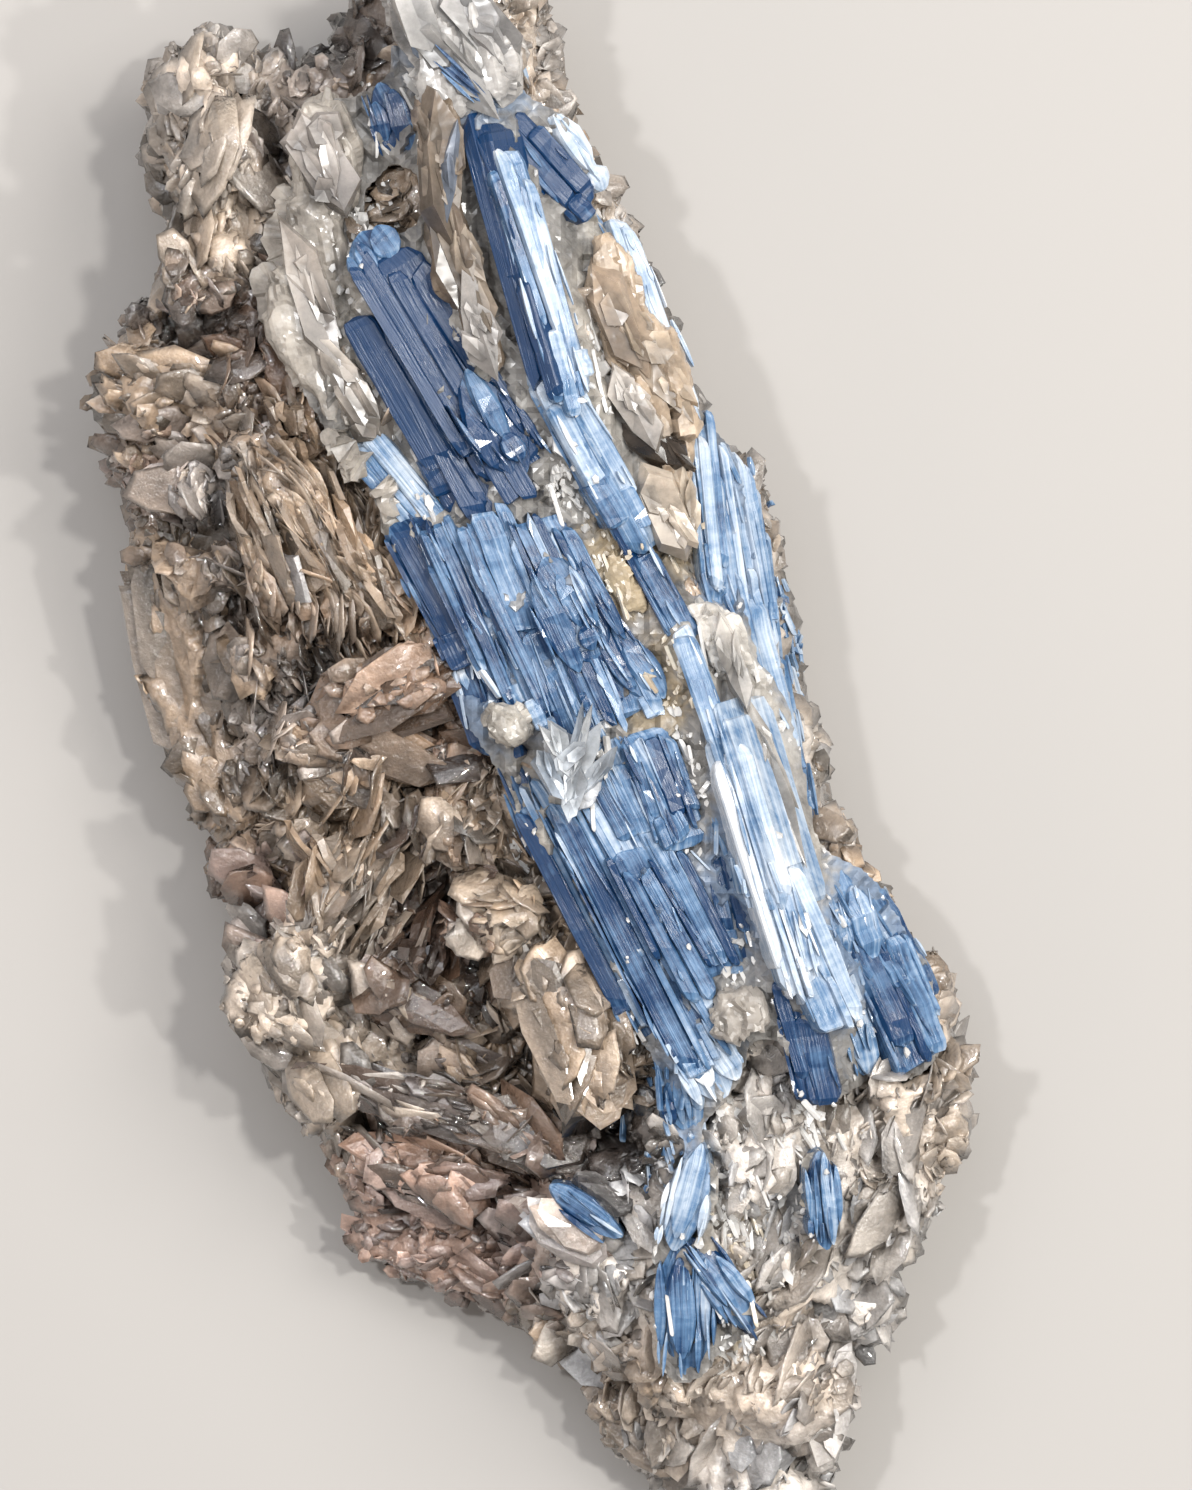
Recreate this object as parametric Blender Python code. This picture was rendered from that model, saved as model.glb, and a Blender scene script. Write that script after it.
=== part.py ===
"""Kyanite blade cluster: blue kyanite blades and milky quartz grown in a slab of mica schist.

The specimen lies on its flat back with the blades up. Every size below is in millimetres, on a
sheet whose +X points right and +Y up the face, with Z measured from the surface it rests on.
An empty named specimen turns the sheet so that the length runs along +Y, and centres it.
"""

import math
import random

import bmesh
import bpy
from mathutils import Matrix, Vector, noise
from mathutils.geometry import delaunay_2d_cdt

MM = 0.001
# Touching pieces keep this gap.
GAP = 0.3
# The turn that brings the specimen's length onto +Y, and the sheet point that becomes the origin.
TURN = math.radians(-11.0)
CENTRE = (-2.68, -1.82)

# Widest outline of the slab, clockwise from the top of the upper left pillar.
OUTLINE = [
    (-35.7, 72.7), (-33.0, 70.3), (-31.5, 68.0), (-29.8, 70.3), (-27.0, 69.2), (-22.3, 70.3),
    (-20.6, 74.1), (-18.8, 78.3), (-13.5, 80.5), (-7.5, 79.7), (-3.6, 77.5), (-2.5, 74.1),
    (-0.8, 66.5), (1.0, 63.7), (3.7, 58.0), (7.3, 50.9), (9.3, 44.0), (11.6, 39.2),
    (13.6, 35.9), (14.7, 32.5), (16.2, 30.4), (19.0, 28.3), (20.6, 25.0), (22.0, 17.8),
    (23.3, 13.3), (23.7, 5.5), (25.1, 1.4), (26.0, -4.0), (26.8, -10.0), (29.0, -11.9),
    (31.6, -13.5), (34.6, -18.2), (38.2, -23.5), (39.9, -26.8), (41.1, -32.3), (42.0, -38.2),
    (40.4, -41.2), (37.4, -45.5), (36.2, -48.5), (34.9, -52.3), (33.7, -54.1), (34.4, -56.1),
    (32.6, -59.5), (29.0, -61.6), (29.2, -66.3), (28.5, -71.0), (27.8, -74.5), (26.2, -78.5),
    (22.8, -81.3), (18.8, -80.7), (15.2, -77.7), (12.4, -74.3), (8.2, -70.3), (5.7, -66.0),
    (0.9, -62.0), (-4.4, -58.7), (-13.7, -54.1), (-17.7, -52.4), (-18.5, -50.2), (-21.0, -47.1),
    (-22.8, -42.5), (-25.6, -37.7), (-29.0, -34.5), (-31.1, -30.3), (-32.5, -26.4), (-33.8, -21.7),
    (-31.2, -19.9), (-32.0, -16.7), (-34.7, -13.0), (-35.5, -9.1), (-38.0, -5.9), (-39.6, -2.7),
    (-40.1, 3.3), (-40.9, 8.1), (-42.7, 14.0), (-43.0, 18.9), (-42.9, 23.3), (-45.0, 26.3),
    (-46.3, 30.2), (-47.0, 33.4), (-46.2, 38.0), (-44.2, 41.0), (-41.5, 44.3), (-39.2, 45.1),
    (-39.2, 48.3), (-40.7, 56.5), (-41.5, 61.9), (-41.6, 66.1), (-39.5, 69.5),
]
# The line that the outline narrows towards as it goes down to the flat back.
SPINE_TOP = Vector((-20.0, 55.0))
SPINE_FOOT = Vector((18.0, -60.0))
# Each ring of the slab's side: how far in from the outline, a height, a share of the face's height.
BACK_RING = (10.0, 0.0, 0.0)
HEEL_RING = (4.0, 2.5, 0.0)
RIM_RING = (0.0, 1.0, 0.42)
SHOULDER_RING = (1.7, 0.0, 0.88)

# Heights of the schist face: x, y, z.
FACE_HEIGHTS = [
    (-36, 66, 18), (-34, 50, 20), (-28, 62, 17), (-22, 60, 24), (-24, 50, 25), (-16, 76, 26),
    (-8, 76, 28), (-10, 64, 30), (-2, 66, 24), (2, 58, 24), (-40, 36, 16), (-32, 36, 22),
    (-24, 36, 25), (-14, 40, 29), (-4, 44, 31), (4, 44, 28), (10, 38, 25), (12, 32, 25),
    (-40, 18, 12), (-32, 18, 18), (-24, 20, 24), (-14, 20, 27), (-4, 16, 30), (6, 14, 30),
    (14, 12, 29), (20, 16, 21), (22, 6, 20), (-38, 4, 12), (-30, 2, 17), (-22, 0, 20),
    (-14, -4, 20), (-6, -2, 26), (4, -6, 30), (14, -8, 30), (20, -10, 26), (25, -8, 18),
    (-32, -12, 12), (-24, -12, 17), (-14, -14, 17), (-6, -18, 20), (4, -24, 25), (14, -26, 28),
    (22, -26, 29), (30, -20, 21), (37, -24, 16), (-30, -26, 13), (-22, -30, 15), (-14, -28, 14),
    (-6, -32, 16), (2, -36, 18), (10, -38, 24), (20, -40, 25), (30, -36, 20), (38, -34, 15),
    (-18, -44, 9), (-8, -48, 10), (0, -46, 15), (8, -50, 21), (18, -52, 22), (28, -50, 19),
    (34, -50, 14), (-10, -55, 7), (0, -58, 10), (10, -62, 18), (20, -64, 19), (28, -62, 14),
    (16, -72, 13), (24, -74, 12), (10, -70, 8),
]
# Between those places the height is a mean, weighted by distance to this power, with this softening.
FALL_OFF = 1.6
SOFTNESS = 4.0
# The face is a net of triangles: the net's spacing, how far its corners stray, and its unevenness.
FACE_SPACING = 5.6
FACE_ROWS = range(-20, 21)
STRAY = 1.1
EDGE_MARGIN = 0.55 * FACE_SPACING
FACE_ROUGHNESS = 0.9
SWELL = 1.8
SWELLS_PER_MM = 0.24
# Share of the face's triangles that is kept where slivers are taken out, and where that starts.
SLIVER_RATIO = 0.75
BACK_CLEARANCE = 3.0

LUMP_CORNERS = 14
# Rounded lumps of fine mica: x, y, z of the middle, then half sizes along x, y and z.
LUMPS = [
    (-36.2, 66.6, 18, 4.6, 5.4, 6.0), (-34.6, 57.5, 19, 5.2, 5.6, 6.0), (-33.5, 49.0, 20, 5.6, 4.6, 5.6),
    (-40.0, 35.6, 15, 6.8, 6.0, 7.2), (-42.6, 29.6, 12, 4.0, 4.2, 5.0), (-40.4, 41.8, 14, 4.4, 2.8, 5.0),
    (-36.6, 26.5, 16, 4.6, 4.6, 6.0), (-34.5, 17.5, 16, 3.6, 6.2, 5.6), (-31.5, 9.0, 17, 3.6, 3.4, 4.4),
    (-26.8, 9.6, 19, 4.2, 3.0, 4.0), (-32.2, -11.5, 12, 3.4, 3.2, 4.4), (-27.6, -24.6, 14, 6.0, 7.6, 7.0),
    (-23.0, -33.8, 12, 6.8, 5.4, 6.0), (-6.0, -16.8, 22, 4.8, 5.4, 5.6), (-9.6, -7.6, 20, 5.8, 5.6, 5.6),
    (33.6, -33.0, 15, 6.8, 7.8, 7.0), (31.4, -47.6, 13, 5.4, 7.8, 6.4), (29.4, -57.6, 11, 4.0, 4.2, 5.4),
    (22.6, -65.0, 13, 6.2, 7.0, 7.0), (19.8, -74.8, 9, 6.8, 6.2, 6.4), (4.6, -53.6, 14, 6.0, 7.2, 7.0),
    (20.0, -41.6, 20, 7.2, 6.8, 6.6), (9.6, -61.8, 14, 5.0, 4.8, 5.6), (-11.0, -46.0, 7, 9.6, 5.4, 5.4),
    (26.6, -9.0, 14, 2.4, 4.6, 6.0), (-8.6, 75.6, 22, 7.6, 4.8, 6.0), (-24.6, 66.0, 17, 3.4, 3.6, 5.0),
]
PLATE_SIDES = 7
PLATE_CHAMFER = 0.8
# Mica books, thick stacks of sheets: x, y, z of the top's middle, length, width, thickness,
# then degrees of heading from +Y towards +X, of tilt up at the far end, and of roll to the right.
BOOKS = [
    (-18.6, 5.6, 26.0, 17.0, 7.0, 5.0, 76, 16, -12), (-17.6, -0.6, 24.0, 12.0, 6.0, 4.6, 112, -6, 22),
    (-22.0, -3.0, 22.5, 15.0, 5.0, 4.6, 128, -8, 14), (-1.4, -28.6, 27.0, 15.0, 5.4, 8.0, -12, 4, -26),
    (2.6, -30.2, 26.8, 14.0, 7.0, 8.0, -16, 6, 16),
    (-3.0, -21.6, 25.0, 8.0, 7.0, 6.0, 24, -6, -16), (-38.2, 7.4, 12.4, 27.0, 7.4, 3.4, -16, 4, -14),
    (-31.0, 19.5, 22.6, 17.0, 2.6, 7.0, -20, 4, -8), (-28.0, 20.5, 24.4, 18.0, 2.4, 7.0, -22, 2, 8),
    (-25.2, 20.5, 25.4, 19.0, 2.6, 7.0, -24, 4, -6), (-22.4, 20.0, 26.6, 19.0, 2.4, 7.0, -22, 2, 8),
    (-19.8, -13.0, 20.4, 18.0, 4.0, 5.0, 32, 4, 18), (-24.8, -14.6, 19.0, 15.0, 3.4, 5.0, 22, 4, -10),
    (-14.0, -36.6, 17.4, 25.0, 5.0, 5.4, 106, 4, 16), (-2.4, -39.0, 18.0, 13.0, 6.0, 5.0, 112, -4, -10),
    (-11.6, -53.4, 7.6, 22.0, 4.6, 4.4, 112, 2, 20), (2.6, -62.2, 8.4, 12.0, 4.0, 4.4, 128, 2, 24),
    (-13.6, -24.0, 18.6, 12.0, 6.0, 4.0, 118, 8, -20), (7.4, -70.0, 8.0, 13.0, 4.4, 4.6, 138, 2, 18),
    (27.6, -66.6, 15.0, 11.0, 4.0, 5.0, 8, -6, 24), (-14.2, -42.4, 13.0, 15.0, 5.0, 4.6, 102, 2, -14),
]
# Hollows: x, y, z of the middle, half sizes, heading in degrees.
PITS = [
    (5.6, -39.4, 21.0, 3.4, 4.4, 6.0, -20), (-12.4, -3.4, 24.5, 2.0, 6.6, 6.0, 36),
    (-28.6, 61.6, 23.0, 2.2, 2.4, 5.0, 0), (-24.6, 5.0, 23.4, 3.0, 2.0, 4.0, 60),
    (-10.6, -23.4, 20.6, 4.0, 5.6, 4.0, 30), (-33.6, 41.6, 24.0, 2.6, 2.2, 4.0, 40),
]

BLADE_CHAMFER = 0.9
BLADE_END = 2.2
# Kyanite blades: the upper and the lower end of the middle of the top face, each as x, y, z,
# then width, thickness and degrees of roll to the right. Blades of one group have grown together.
KYANITE = {
    "kyanite_main": [
        (-18.8, 50.5, 32.2, -3.2, 25.4, 32.0, 7.4, 6, 0), (-9.4, 37.2, 33.4, -3.2, 26.6, 32.8, 6.6, 5, 8),
        (-20.4, 42.4, 29.8, -9.0, 21.4, 29.2, 2.8, 6, -16), (-18.4, 42.8, 30.9, -7.0, 21.2, 30.2, 2.8, 6, 0),
        (-16.6, 41.0, 30.4, -5.0, 21.6, 30.4, 2.8, 6, 14), (-21.4, 32.0, 28.0, -10.8, 19.4, 28.0, 4.6, 5, -8),
        (-9.3, 63.7, 35.6, -1.5, 34.0, 36.2, 3.6, 7, -34), (-3.4, 38.6, 34.6, 8.4, 17.6, 32.2, 3.6, 6, -24),
        (-6.4, 61.0, 36.2, 2.6, 32.0, 35.6, 4.6, 7, 16), (-1.4, 38.0, 35.2, 7.8, 20.4, 32.8, 4.4, 6, 12),
        (-16.4, 23.4, 29.0, -9.0, 8.4, 29.0, 5.4, 6, -14), (-13.0, 23.0, 30.6, -4.2, 4.2, 30.4, 5.2, 6, -4),
        (-8.4, 24.0, 31.6, 1.2, 0.4, 31.0, 6.0, 6, 2), (-3.4, 24.0, 32.0, 7.2, 1.0, 31.6, 7.0, 6, 4),
        (-1.6, 19.0, 33.2, 4.0, 7.8, 32.8, 7.6, 5, 0), (-12.2, 14.0, 28.0, -6.0, -2.4, 27.6, 4.6, 6, -26),
        (4.2, 13.0, 32.2, 10.0, 4.0, 31.8, 4.4, 5, 10), (-1.0, 7.0, 31.4, 4.4, -5.4, 31.0, 5.6, 6, -4),
        (-3.6, -3.4, 29.0, 10.6, -30.6, 28.2, 6.0, 6, -18), (0.6, -4.4, 31.2, 15.2, -32.0, 29.6, 7.0, 6, -4),
        (7.2, -8.6, 31.8, 15.8, -24.4, 30.8, 7.6, 6, 4), (4.0, 1.2, 32.0, 10.2, -11.4, 31.8, 7.0, 6, -6),
        (8.0, 2.4, 32.4, 13.2, -11.2, 32.0, 5.4, 6, 10), (-5.4, -1.6, 27.8, -1.0, -12.6, 27.0, 3.6, 6, -28),
        (16.2, -9.6, 30.8, 19.2, -22.4, 29.6, 4.4, 6, -6), (12.2, -27.6, 29.4, 16.8, -35.6, 28.0, 6.4, 5, 0),
        (11.6, -33.0, 27.4, 12.8, -39.4, 25.6, 4.6, 5, -10),
        (14.0, 5.2, 34.6, 21.2, -18.4, 34.6, 3.6, 8, -36),
        (16.2, 1.6, 35.4, 25.2, -26.0, 34.2, 5.6, 8, 12), (21.4, -12.4, 33.8, 28.2, -28.0, 32.4, 5.2, 7, 20),
        (23.0, -23.6, 31.6, 26.4, -37.0, 29.8, 4.6, 6, -4), (11.6, 12.8, 33.6, 16.4, -1.0, 34.8, 2.4, 6, 0),
        (6.2, 22.4, 31.6, 13.0, 9.4, 32.0, 3.0, 6, 0),
    ],
    "kyanite_right_edge": [
        (4.8, 52.4, 28.2, 13.6, 31.6, 28.0, 2.4, 5, 24), (13.8, 34.0, 28.0, 16.2, 12.4, 27.6, 3.2, 6, 14),
        (16.8, 30.4, 25.6, 20.4, 9.6, 25.2, 4.8, 7, 34), (18.8, 26.6, 22.0, 21.8, 4.4, 21.6, 4.2, 7, 48),
        (17.6, 18.6, 26.4, 23.4, -3.6, 24.8, 4.2, 7, 28), (21.0, 11.4, 23.6, 25.2, -9.6, 21.8, 4.2, 7, 42),
    ],
    "kyanite_right_foot": [
        (27.4, -11.4, 25.6, 31.0, -23.4, 24.0, 5.2, 7, 18),
        (30.0, -13.4, 22.4, 37.4, -26.0, 20.4, 5.6, 7, 38),
        (31.4, -19.0, 23.0, 37.6, -33.0, 20.4, 7.4, 7, 28),
        (27.8, -22.4, 24.2, 31.0, -33.6, 22.6, 4.0, 7, 12),
    ],
    "kyanite_tail": [
        (14.0, -41.0, 26.8, 11.2, -51.0, 26.2, 4.6, 5, -6),
        (12.4, -48.4, 26.0, 12.6, -64.6, 23.6, 6.2, 5, -4),
        (12.6, -48.6, 26.0, 20.4, -59.4, 24.0, 4.4, 5, 18),
    ],
    "kyanite_lone_blade": [(26.0, -40.6, 27.4, 27.0, -51.0, 26.0, 3.8, 5, 6)],
    "kyanite_corner_blade": [(-1.4, -44.4, 22.6, 6.4, -49.6, 22.8, 3.2, 5, -6)],
    "kyanite_crown_blade": [
        (-4.4, 63.2, 32.0, 2.6, 52.8, 29.4, 6.4, 6, 18), (-0.4, 63.4, 29.4, 3.8, 55.2, 27.0, 3.2, 6, 34),
    ],
    "kyanite_left_crown": [(-18.4, 66.4, 28.6, -15.6, 58.4, 28.6, 4.6, 5, -10)],
}
# Quartz: slabs as x, y, z of the top's middle, length, width, thickness, heading, tilt, roll.
QUARTZ = {
    "quartz_top_slab": [(-11.6, 71.0, 34.0, 19.0, 10.6, 6, 150, 4, 8)],
    "quartz_left_vein": [
        (-23.6, 58.4, 27.8, 13.0, 8.4, 6, 174, -4, 10), (-25.0, 49.6, 27.8, 12.0, 7.4, 6, 166, -2, 8),
        (-25.4, 40.6, 28.4, 16.0, 7.6, 6, 154, 0, 8), (-21.0, 32.0, 28.4, 14.0, 6.0, 6, 148, 0, 6),
        (-15.4, 23.6, 28.4, 13.0, 4.0, 5, 148, 0, 4),
    ],
    "quartz_splinter": [
        (-12.4, 58.8, 35.0, 13.0, 4.6, 7, 186, 4, 20), (-11.2, 50.0, 34.2, 13.0, 4.0, 7, 170, 2, 12),
        (-8.0, 41.4, 33.6, 12.0, 3.8, 7, 160, 2, 8),
    ],
    "quartz_right_pocket": [
        (5.6, 47.0, 30.2, 11.0, 5.6, 6, 164, 2, -12), (8.8, 39.0, 30.0, 13.0, 7.4, 6, 156, 2, -14),
        (11.4, 29.4, 30.2, 12.0, 5.6, 6, 172, 0, -10),
    ],
    "quartz_middle_pocket": [(7.2, 16.6, 31.6, 8.0, 5.0, 6, 158, 0, -6)],
    "quartz_centre_patch": [(15.2, 10.2, 32.0, 8.6, 6.8, 6, 164, 0, -6)],
    "quartz_ridge_foot": [(20.6, -3.0, 30.6, 17.0, 5.4, 6, 164, 2, -14)],
    "quartz_centre_splash": [(1.2, -2.4, 33.4, 9.0, 4.6, 4, 152, 0, 4)],
    "quartz_knob": [(-5.2, 2.0, 32.6, 5.4, 4.8, 4, 120, 0, 10)],
    "quartz_lower_knot": [(17.8, -26.8, 31.8, 7.0, 5.6, 6, 60, 0, 0)],
}
KYANITE_BLUE = (0.030, 0.085, 0.300, 1.0)
QUARTZ_WHITE = (0.520, 0.480, 0.420, 1.0)
SCHIST_TAN = (0.240, 0.190, 0.140, 1.0)


def clear_scene():
    """Removes the objects that the file opened with."""
    for found in list(bpy.data.objects):
        bpy.data.objects.remove(found)


def material(name, colour, roughness):
    """One plain finish, shared by the pieces of one mineral."""
    made = bpy.data.materials.new(name)
    made.use_nodes = True
    shader = made.node_tree.nodes["Principled BSDF"]
    shader.inputs["Base Color"].default_value = colour
    shader.inputs["Roughness"].default_value = roughness
    shader.inputs["Metallic"].default_value = 0.0
    return made


def add_object(name, bm, finish=None, helper=False, folder=None):
    """Makes an object of a bmesh, parented to the specimen. A helper only cuts or joins."""
    bmesh.ops.recalc_face_normals(bm, faces=bm.faces)
    if bm.calc_volume(signed=True) < 0.0:
        bmesh.ops.reverse_faces(bm, faces=bm.faces)
    mesh = bpy.data.meshes.new(name)
    bm.to_mesh(mesh)
    bm.free()
    made = bpy.data.objects.new(name, mesh)
    (folder or bpy.context.scene.collection).objects.link(made)
    made.parent = bpy.data.objects["specimen"]
    if finish:
        mesh.materials.append(finish)
    if helper:
        made.hide_render = True
        made.display_type = "WIRE"
    return made


def helper_folder(name):
    """A collection that holds the solids of one Boolean."""
    made = bpy.data.collections.new(name)
    bpy.context.scene.collection.children.link(made)
    return made


def face_height(x, y):
    """Height of the schist face, a distance-weighted mean of FACE_HEIGHTS."""
    weights = [((x - a) ** 2 + (y - b) ** 2 + SOFTNESS) ** -FALL_OFF for a, b, _ in FACE_HEIGHTS]
    return sum(w * z for w, (_, _, z) in zip(weights, FACE_HEIGHTS)) / sum(weights)


def ring_points(ring):
    """The outline, drawn in towards the spine and set at the ring's height."""
    inset, height, share = ring
    run = SPINE_FOOT - SPINE_TOP
    points = []
    for x, y in OUTLINE:
        here = Vector((x, y))
        along = max(0.0, min(1.0, (here - SPINE_TOP).dot(run) / run.length_squared))
        moved = here + (SPINE_TOP + run * along - here).normalized() * inset
        points.append(Vector((moved.x, moved.y, height + share * face_height(x, y))))
    return points


def inside(x, y, ring, margin):
    """True where a sheet point lies in the ring and at least margin from its corners."""
    crossings = 0
    for a, b in zip(ring, ring[1:] + ring[:1]):
        if (a.y > y) != (b.y > y) and x < a.x + (y - a.y) / (b.y - a.y) * (b.x - a.x):
            crossings += 1
    near = min((a.x - x) ** 2 + (a.y - y) ** 2 for a in ring)
    return crossings % 2 == 1 and near > margin**2


def face_points(ring, draw):
    """Scattered points of the face inside its shoulder ring."""
    points = []
    row_spacing = FACE_SPACING * math.sin(math.radians(60.0))
    for row in FACE_ROWS:
        for column in FACE_ROWS:
            x = (column + 0.5 * (row % 2)) * FACE_SPACING + draw.uniform(-STRAY, STRAY)
            y = row * row_spacing + draw.uniform(-STRAY, STRAY)
            if inside(x, y, ring, EDGE_MARGIN):
                swell = noise.noise(Vector((x, y, 3.0)) * SWELLS_PER_MM) * SWELL
                z = face_height(x, y) + swell + draw.uniform(-0.5, 0.5) * FACE_ROUGHNESS
                points.append(Vector((x, y, z)))
    return points


def loft(rings):
    """A closed bmesh through rings of points with equal counts, capped flat at both ends."""
    bm = bmesh.new()
    lower = [bm.verts.new(p * MM) for p in rings[0]]
    bm.faces.new(lower)
    for ring in rings[1:]:
        upper = [bm.verts.new(p * MM) for p in ring]
        for i in range(len(upper)):
            bm.faces.new((lower[i - 1], lower[i], upper[i], upper[i - 1]))
        lower = upper
    bm.faces.new(lower)
    return bm


def slab_mesh():
    """The bare slab of schist: flat back, heel, rim, shoulder and an uneven face."""
    draw = random.Random(4)
    bm = loft([ring_points(ring) for ring in (BACK_RING, HEEL_RING, RIM_RING, SHOULDER_RING)])
    bm.faces.ensure_lookup_table()
    lid = bm.faces[-1]
    rim = list(lid.verts)
    bm.faces.remove(lid)
    shoulder = ring_points(SHOULDER_RING)
    points = shoulder + face_points(shoulder, draw)
    count = len(shoulder)
    flat = [p.to_2d() for p in points]
    border = [(i, (i + 1) % count) for i in range(count)]
    found, _, faces, origins, _, _ = delaunay_2d_cdt(flat, border, [], 0, 1e-5, True)
    corners = {}
    for index, source in enumerate(origins):
        first = source[0] if source else None
        if first is not None and first < count:
            corners[index] = rim[first]
        else:
            z = points[first].z if first is not None else face_height(*found[index])
            corners[index] = bm.verts.new(Vector((*found[index], z)) * MM)
    for face in faces:
        middle = sum((found[i] for i in face), Vector((0.0, 0.0))) / 3.0
        if inside(middle.x, middle.y, shoulder, 0.0):
            bm.faces.new([corners[i] for i in face])
    return bm


def placing(x, y, z, heading, tilt=0.0, roll=0.0):
    """The matrix that sets a shape made at the origin, +Y along it and +Z out of its top."""
    turn = Matrix.Rotation(math.radians(-heading), 4, "Z")
    lean = Matrix.Rotation(math.radians(tilt), 4, "X")
    side = Matrix.Rotation(math.radians(roll), 4, "Y")
    return Matrix.Translation(Vector((x, y, z)) * MM) @ turn @ lean @ side


def lump_mesh(x, y, z, rx, ry, rz, heading, seed):
    """A faceted lump: the hull of scattered points on an ellipsoid."""
    draw = random.Random(seed)
    bm = bmesh.new()
    golden = math.pi * (3.0 - math.sqrt(5.0))
    for i in range(LUMP_CORNERS):
        level = 1.0 - 2.0 * (i + 0.5) / LUMP_CORNERS
        reach = math.sqrt(1.0 - level * level)
        angle = i * golden + draw.uniform(-0.3, 0.3)
        spread = draw.uniform(0.78, 1.12)
        spot = Vector((math.cos(angle) * reach * rx, math.sin(angle) * reach * ry, level * rz))
        bm.verts.new(spot * spread * MM)
    hull = bmesh.ops.convex_hull(bm, input=bm.verts)
    bmesh.ops.delete(bm, geom=hull["geom_interior"], context="VERTS")
    bm.transform(placing(x, y, z, heading))
    return bm


def plate_mesh(x, y, z, length, width, thick, heading, tilt, roll, seed, grow=0.0):
    """A thick plate with an uneven outline and a chamfered top edge, as a mica book or a quartz slab."""
    draw = random.Random(seed)
    bm = bmesh.new()
    reach = Matrix.Diagonal((width / 2 + grow, length / 2 + grow, 1.0, 1.0)) * MM
    made = bmesh.ops.create_circle(bm, cap_ends=True, radius=1.0, segments=PLATE_SIDES)
    for corner in made["verts"]:
        corner.co *= draw.uniform(0.86, 1.1)
        corner.co = reach @ corner.co
        corner.co.z = -(thick + grow) * MM
    base = bm.faces[:]
    wall = bmesh.ops.extrude_face_region(bm, geom=base)
    top = [v for v in wall["geom"] if isinstance(v, bmesh.types.BMVert)]
    chamfer = min(PLATE_CHAMFER, 0.2 * width)
    bmesh.ops.translate(bm, verts=top, vec=(0.0, 0.0, (thick + 2 * grow - chamfer) * MM))
    cap = [f for f in wall["geom"] if isinstance(f, bmesh.types.BMFace)]
    lid = bmesh.ops.extrude_face_region(bm, geom=cap)
    bmesh.ops.delete(bm, geom=cap, context="FACES_ONLY")
    top = [v for v in lid["geom"] if isinstance(v, bmesh.types.BMVert)]
    shrink = Matrix.Diagonal((1.0 - 2 * chamfer / width, 1.0 - 2 * chamfer / length, 1.0, 1.0))
    bmesh.ops.transform(bm, matrix=shrink, verts=top)
    bmesh.ops.translate(bm, verts=top, vec=(0.0, 0.0, chamfer * MM))
    bm.transform(placing(x, y, z, heading, tilt, roll))
    return bm


def blade_mesh(row, seed, grow=0.0):
    """One kyanite blade: a flat six-sided prism with chamfered upper edges and stepped, broken ends."""
    x0, y0, z0, x1, y1, z1, width, thick, roll = row
    draw = random.Random(seed)
    run = Vector((x1 - x0, y1 - y0, z1 - z0))
    heading = math.degrees(math.atan2(run.x, run.y))
    tilt = math.degrees(math.atan2(run.z, run.to_2d().length))
    half = width / 2 + grow
    edge = min(BLADE_CHAMFER, 0.22 * width)
    section = [
        (-half, -thick - grow), (half, -thick - grow), (half, grow - edge),
        (half - edge, grow), (edge - half, grow), (-half, grow - edge),
    ]
    step = min(BLADE_END, 0.1 * run.length)
    stations = [
        (-grow, draw.uniform(0.55, 0.8)), (step, 1.0),
        (run.length - step, draw.uniform(0.9, 1.0)), (run.length + grow, draw.uniform(0.45, 0.75)),
    ]
    slant = draw.uniform(-0.5, 0.5)
    rings = []
    for along, share in stations:
        ring = []
        for across, up in section:
            sink = 0.35 * (1.0 - share) * thick if up > -thick else 0.0
            ring.append(Vector((across * share, along + slant * across * 0.5, up - sink)))
        rings.append(ring)
    bm = loft(rings)
    bm.transform(placing(x0, y0, z0, heading, tilt, -roll))
    return bm


def add_boolean(target, operation, folder):
    """A Boolean of the target with every solid in a collection."""
    made = target.modifiers.new(folder.name, "BOOLEAN")
    made.operation = operation
    made.operand_type = "COLLECTION"
    made.collection = folder
    made.solver = "EXACT"


def keep_main_body(target):
    """Applies the modifiers, then drops the loose crumbs that the cuts left."""
    graph = bpy.context.evaluated_depsgraph_get()
    bm = bmesh.new()
    bm.from_object(target, graph)
    bm.verts.ensure_lookup_table()
    seen, bodies = set(), []
    for start in bm.verts:
        if start in seen:
            continue
        body, edge = set(), [start]
        while edge:
            corner = edge.pop()
            if corner not in body:
                body.add(corner)
                edge.extend(e.other_vert(corner) for e in corner.link_edges)
        seen |= body
        bodies.append(body)
    largest = max(bodies, key=len)
    bmesh.ops.delete(bm, geom=[v for v in bm.verts if v not in largest], context="VERTS")
    bm.to_mesh(target.data)
    bm.free()
    target.modifiers.clear()


def blade_folder(name, rows, seed, grow=0.0):
    """Helpers of every blade in the rows."""
    folder = helper_folder(name)
    for index, row in enumerate(rows):
        add_object(f"{name}_{index}", blade_mesh(row, seed + index, grow), helper=True, folder=folder)
    return folder


def quartz_folder(name, rows, seed, grow=0.0):
    """Helpers of every slab in the rows."""
    folder = helper_folder(name)
    for index, row in enumerate(rows):
        add_object(f"{name}_{index}", plate_mesh(*row, seed + index, grow=grow), helper=True, folder=folder)
    return folder


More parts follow.
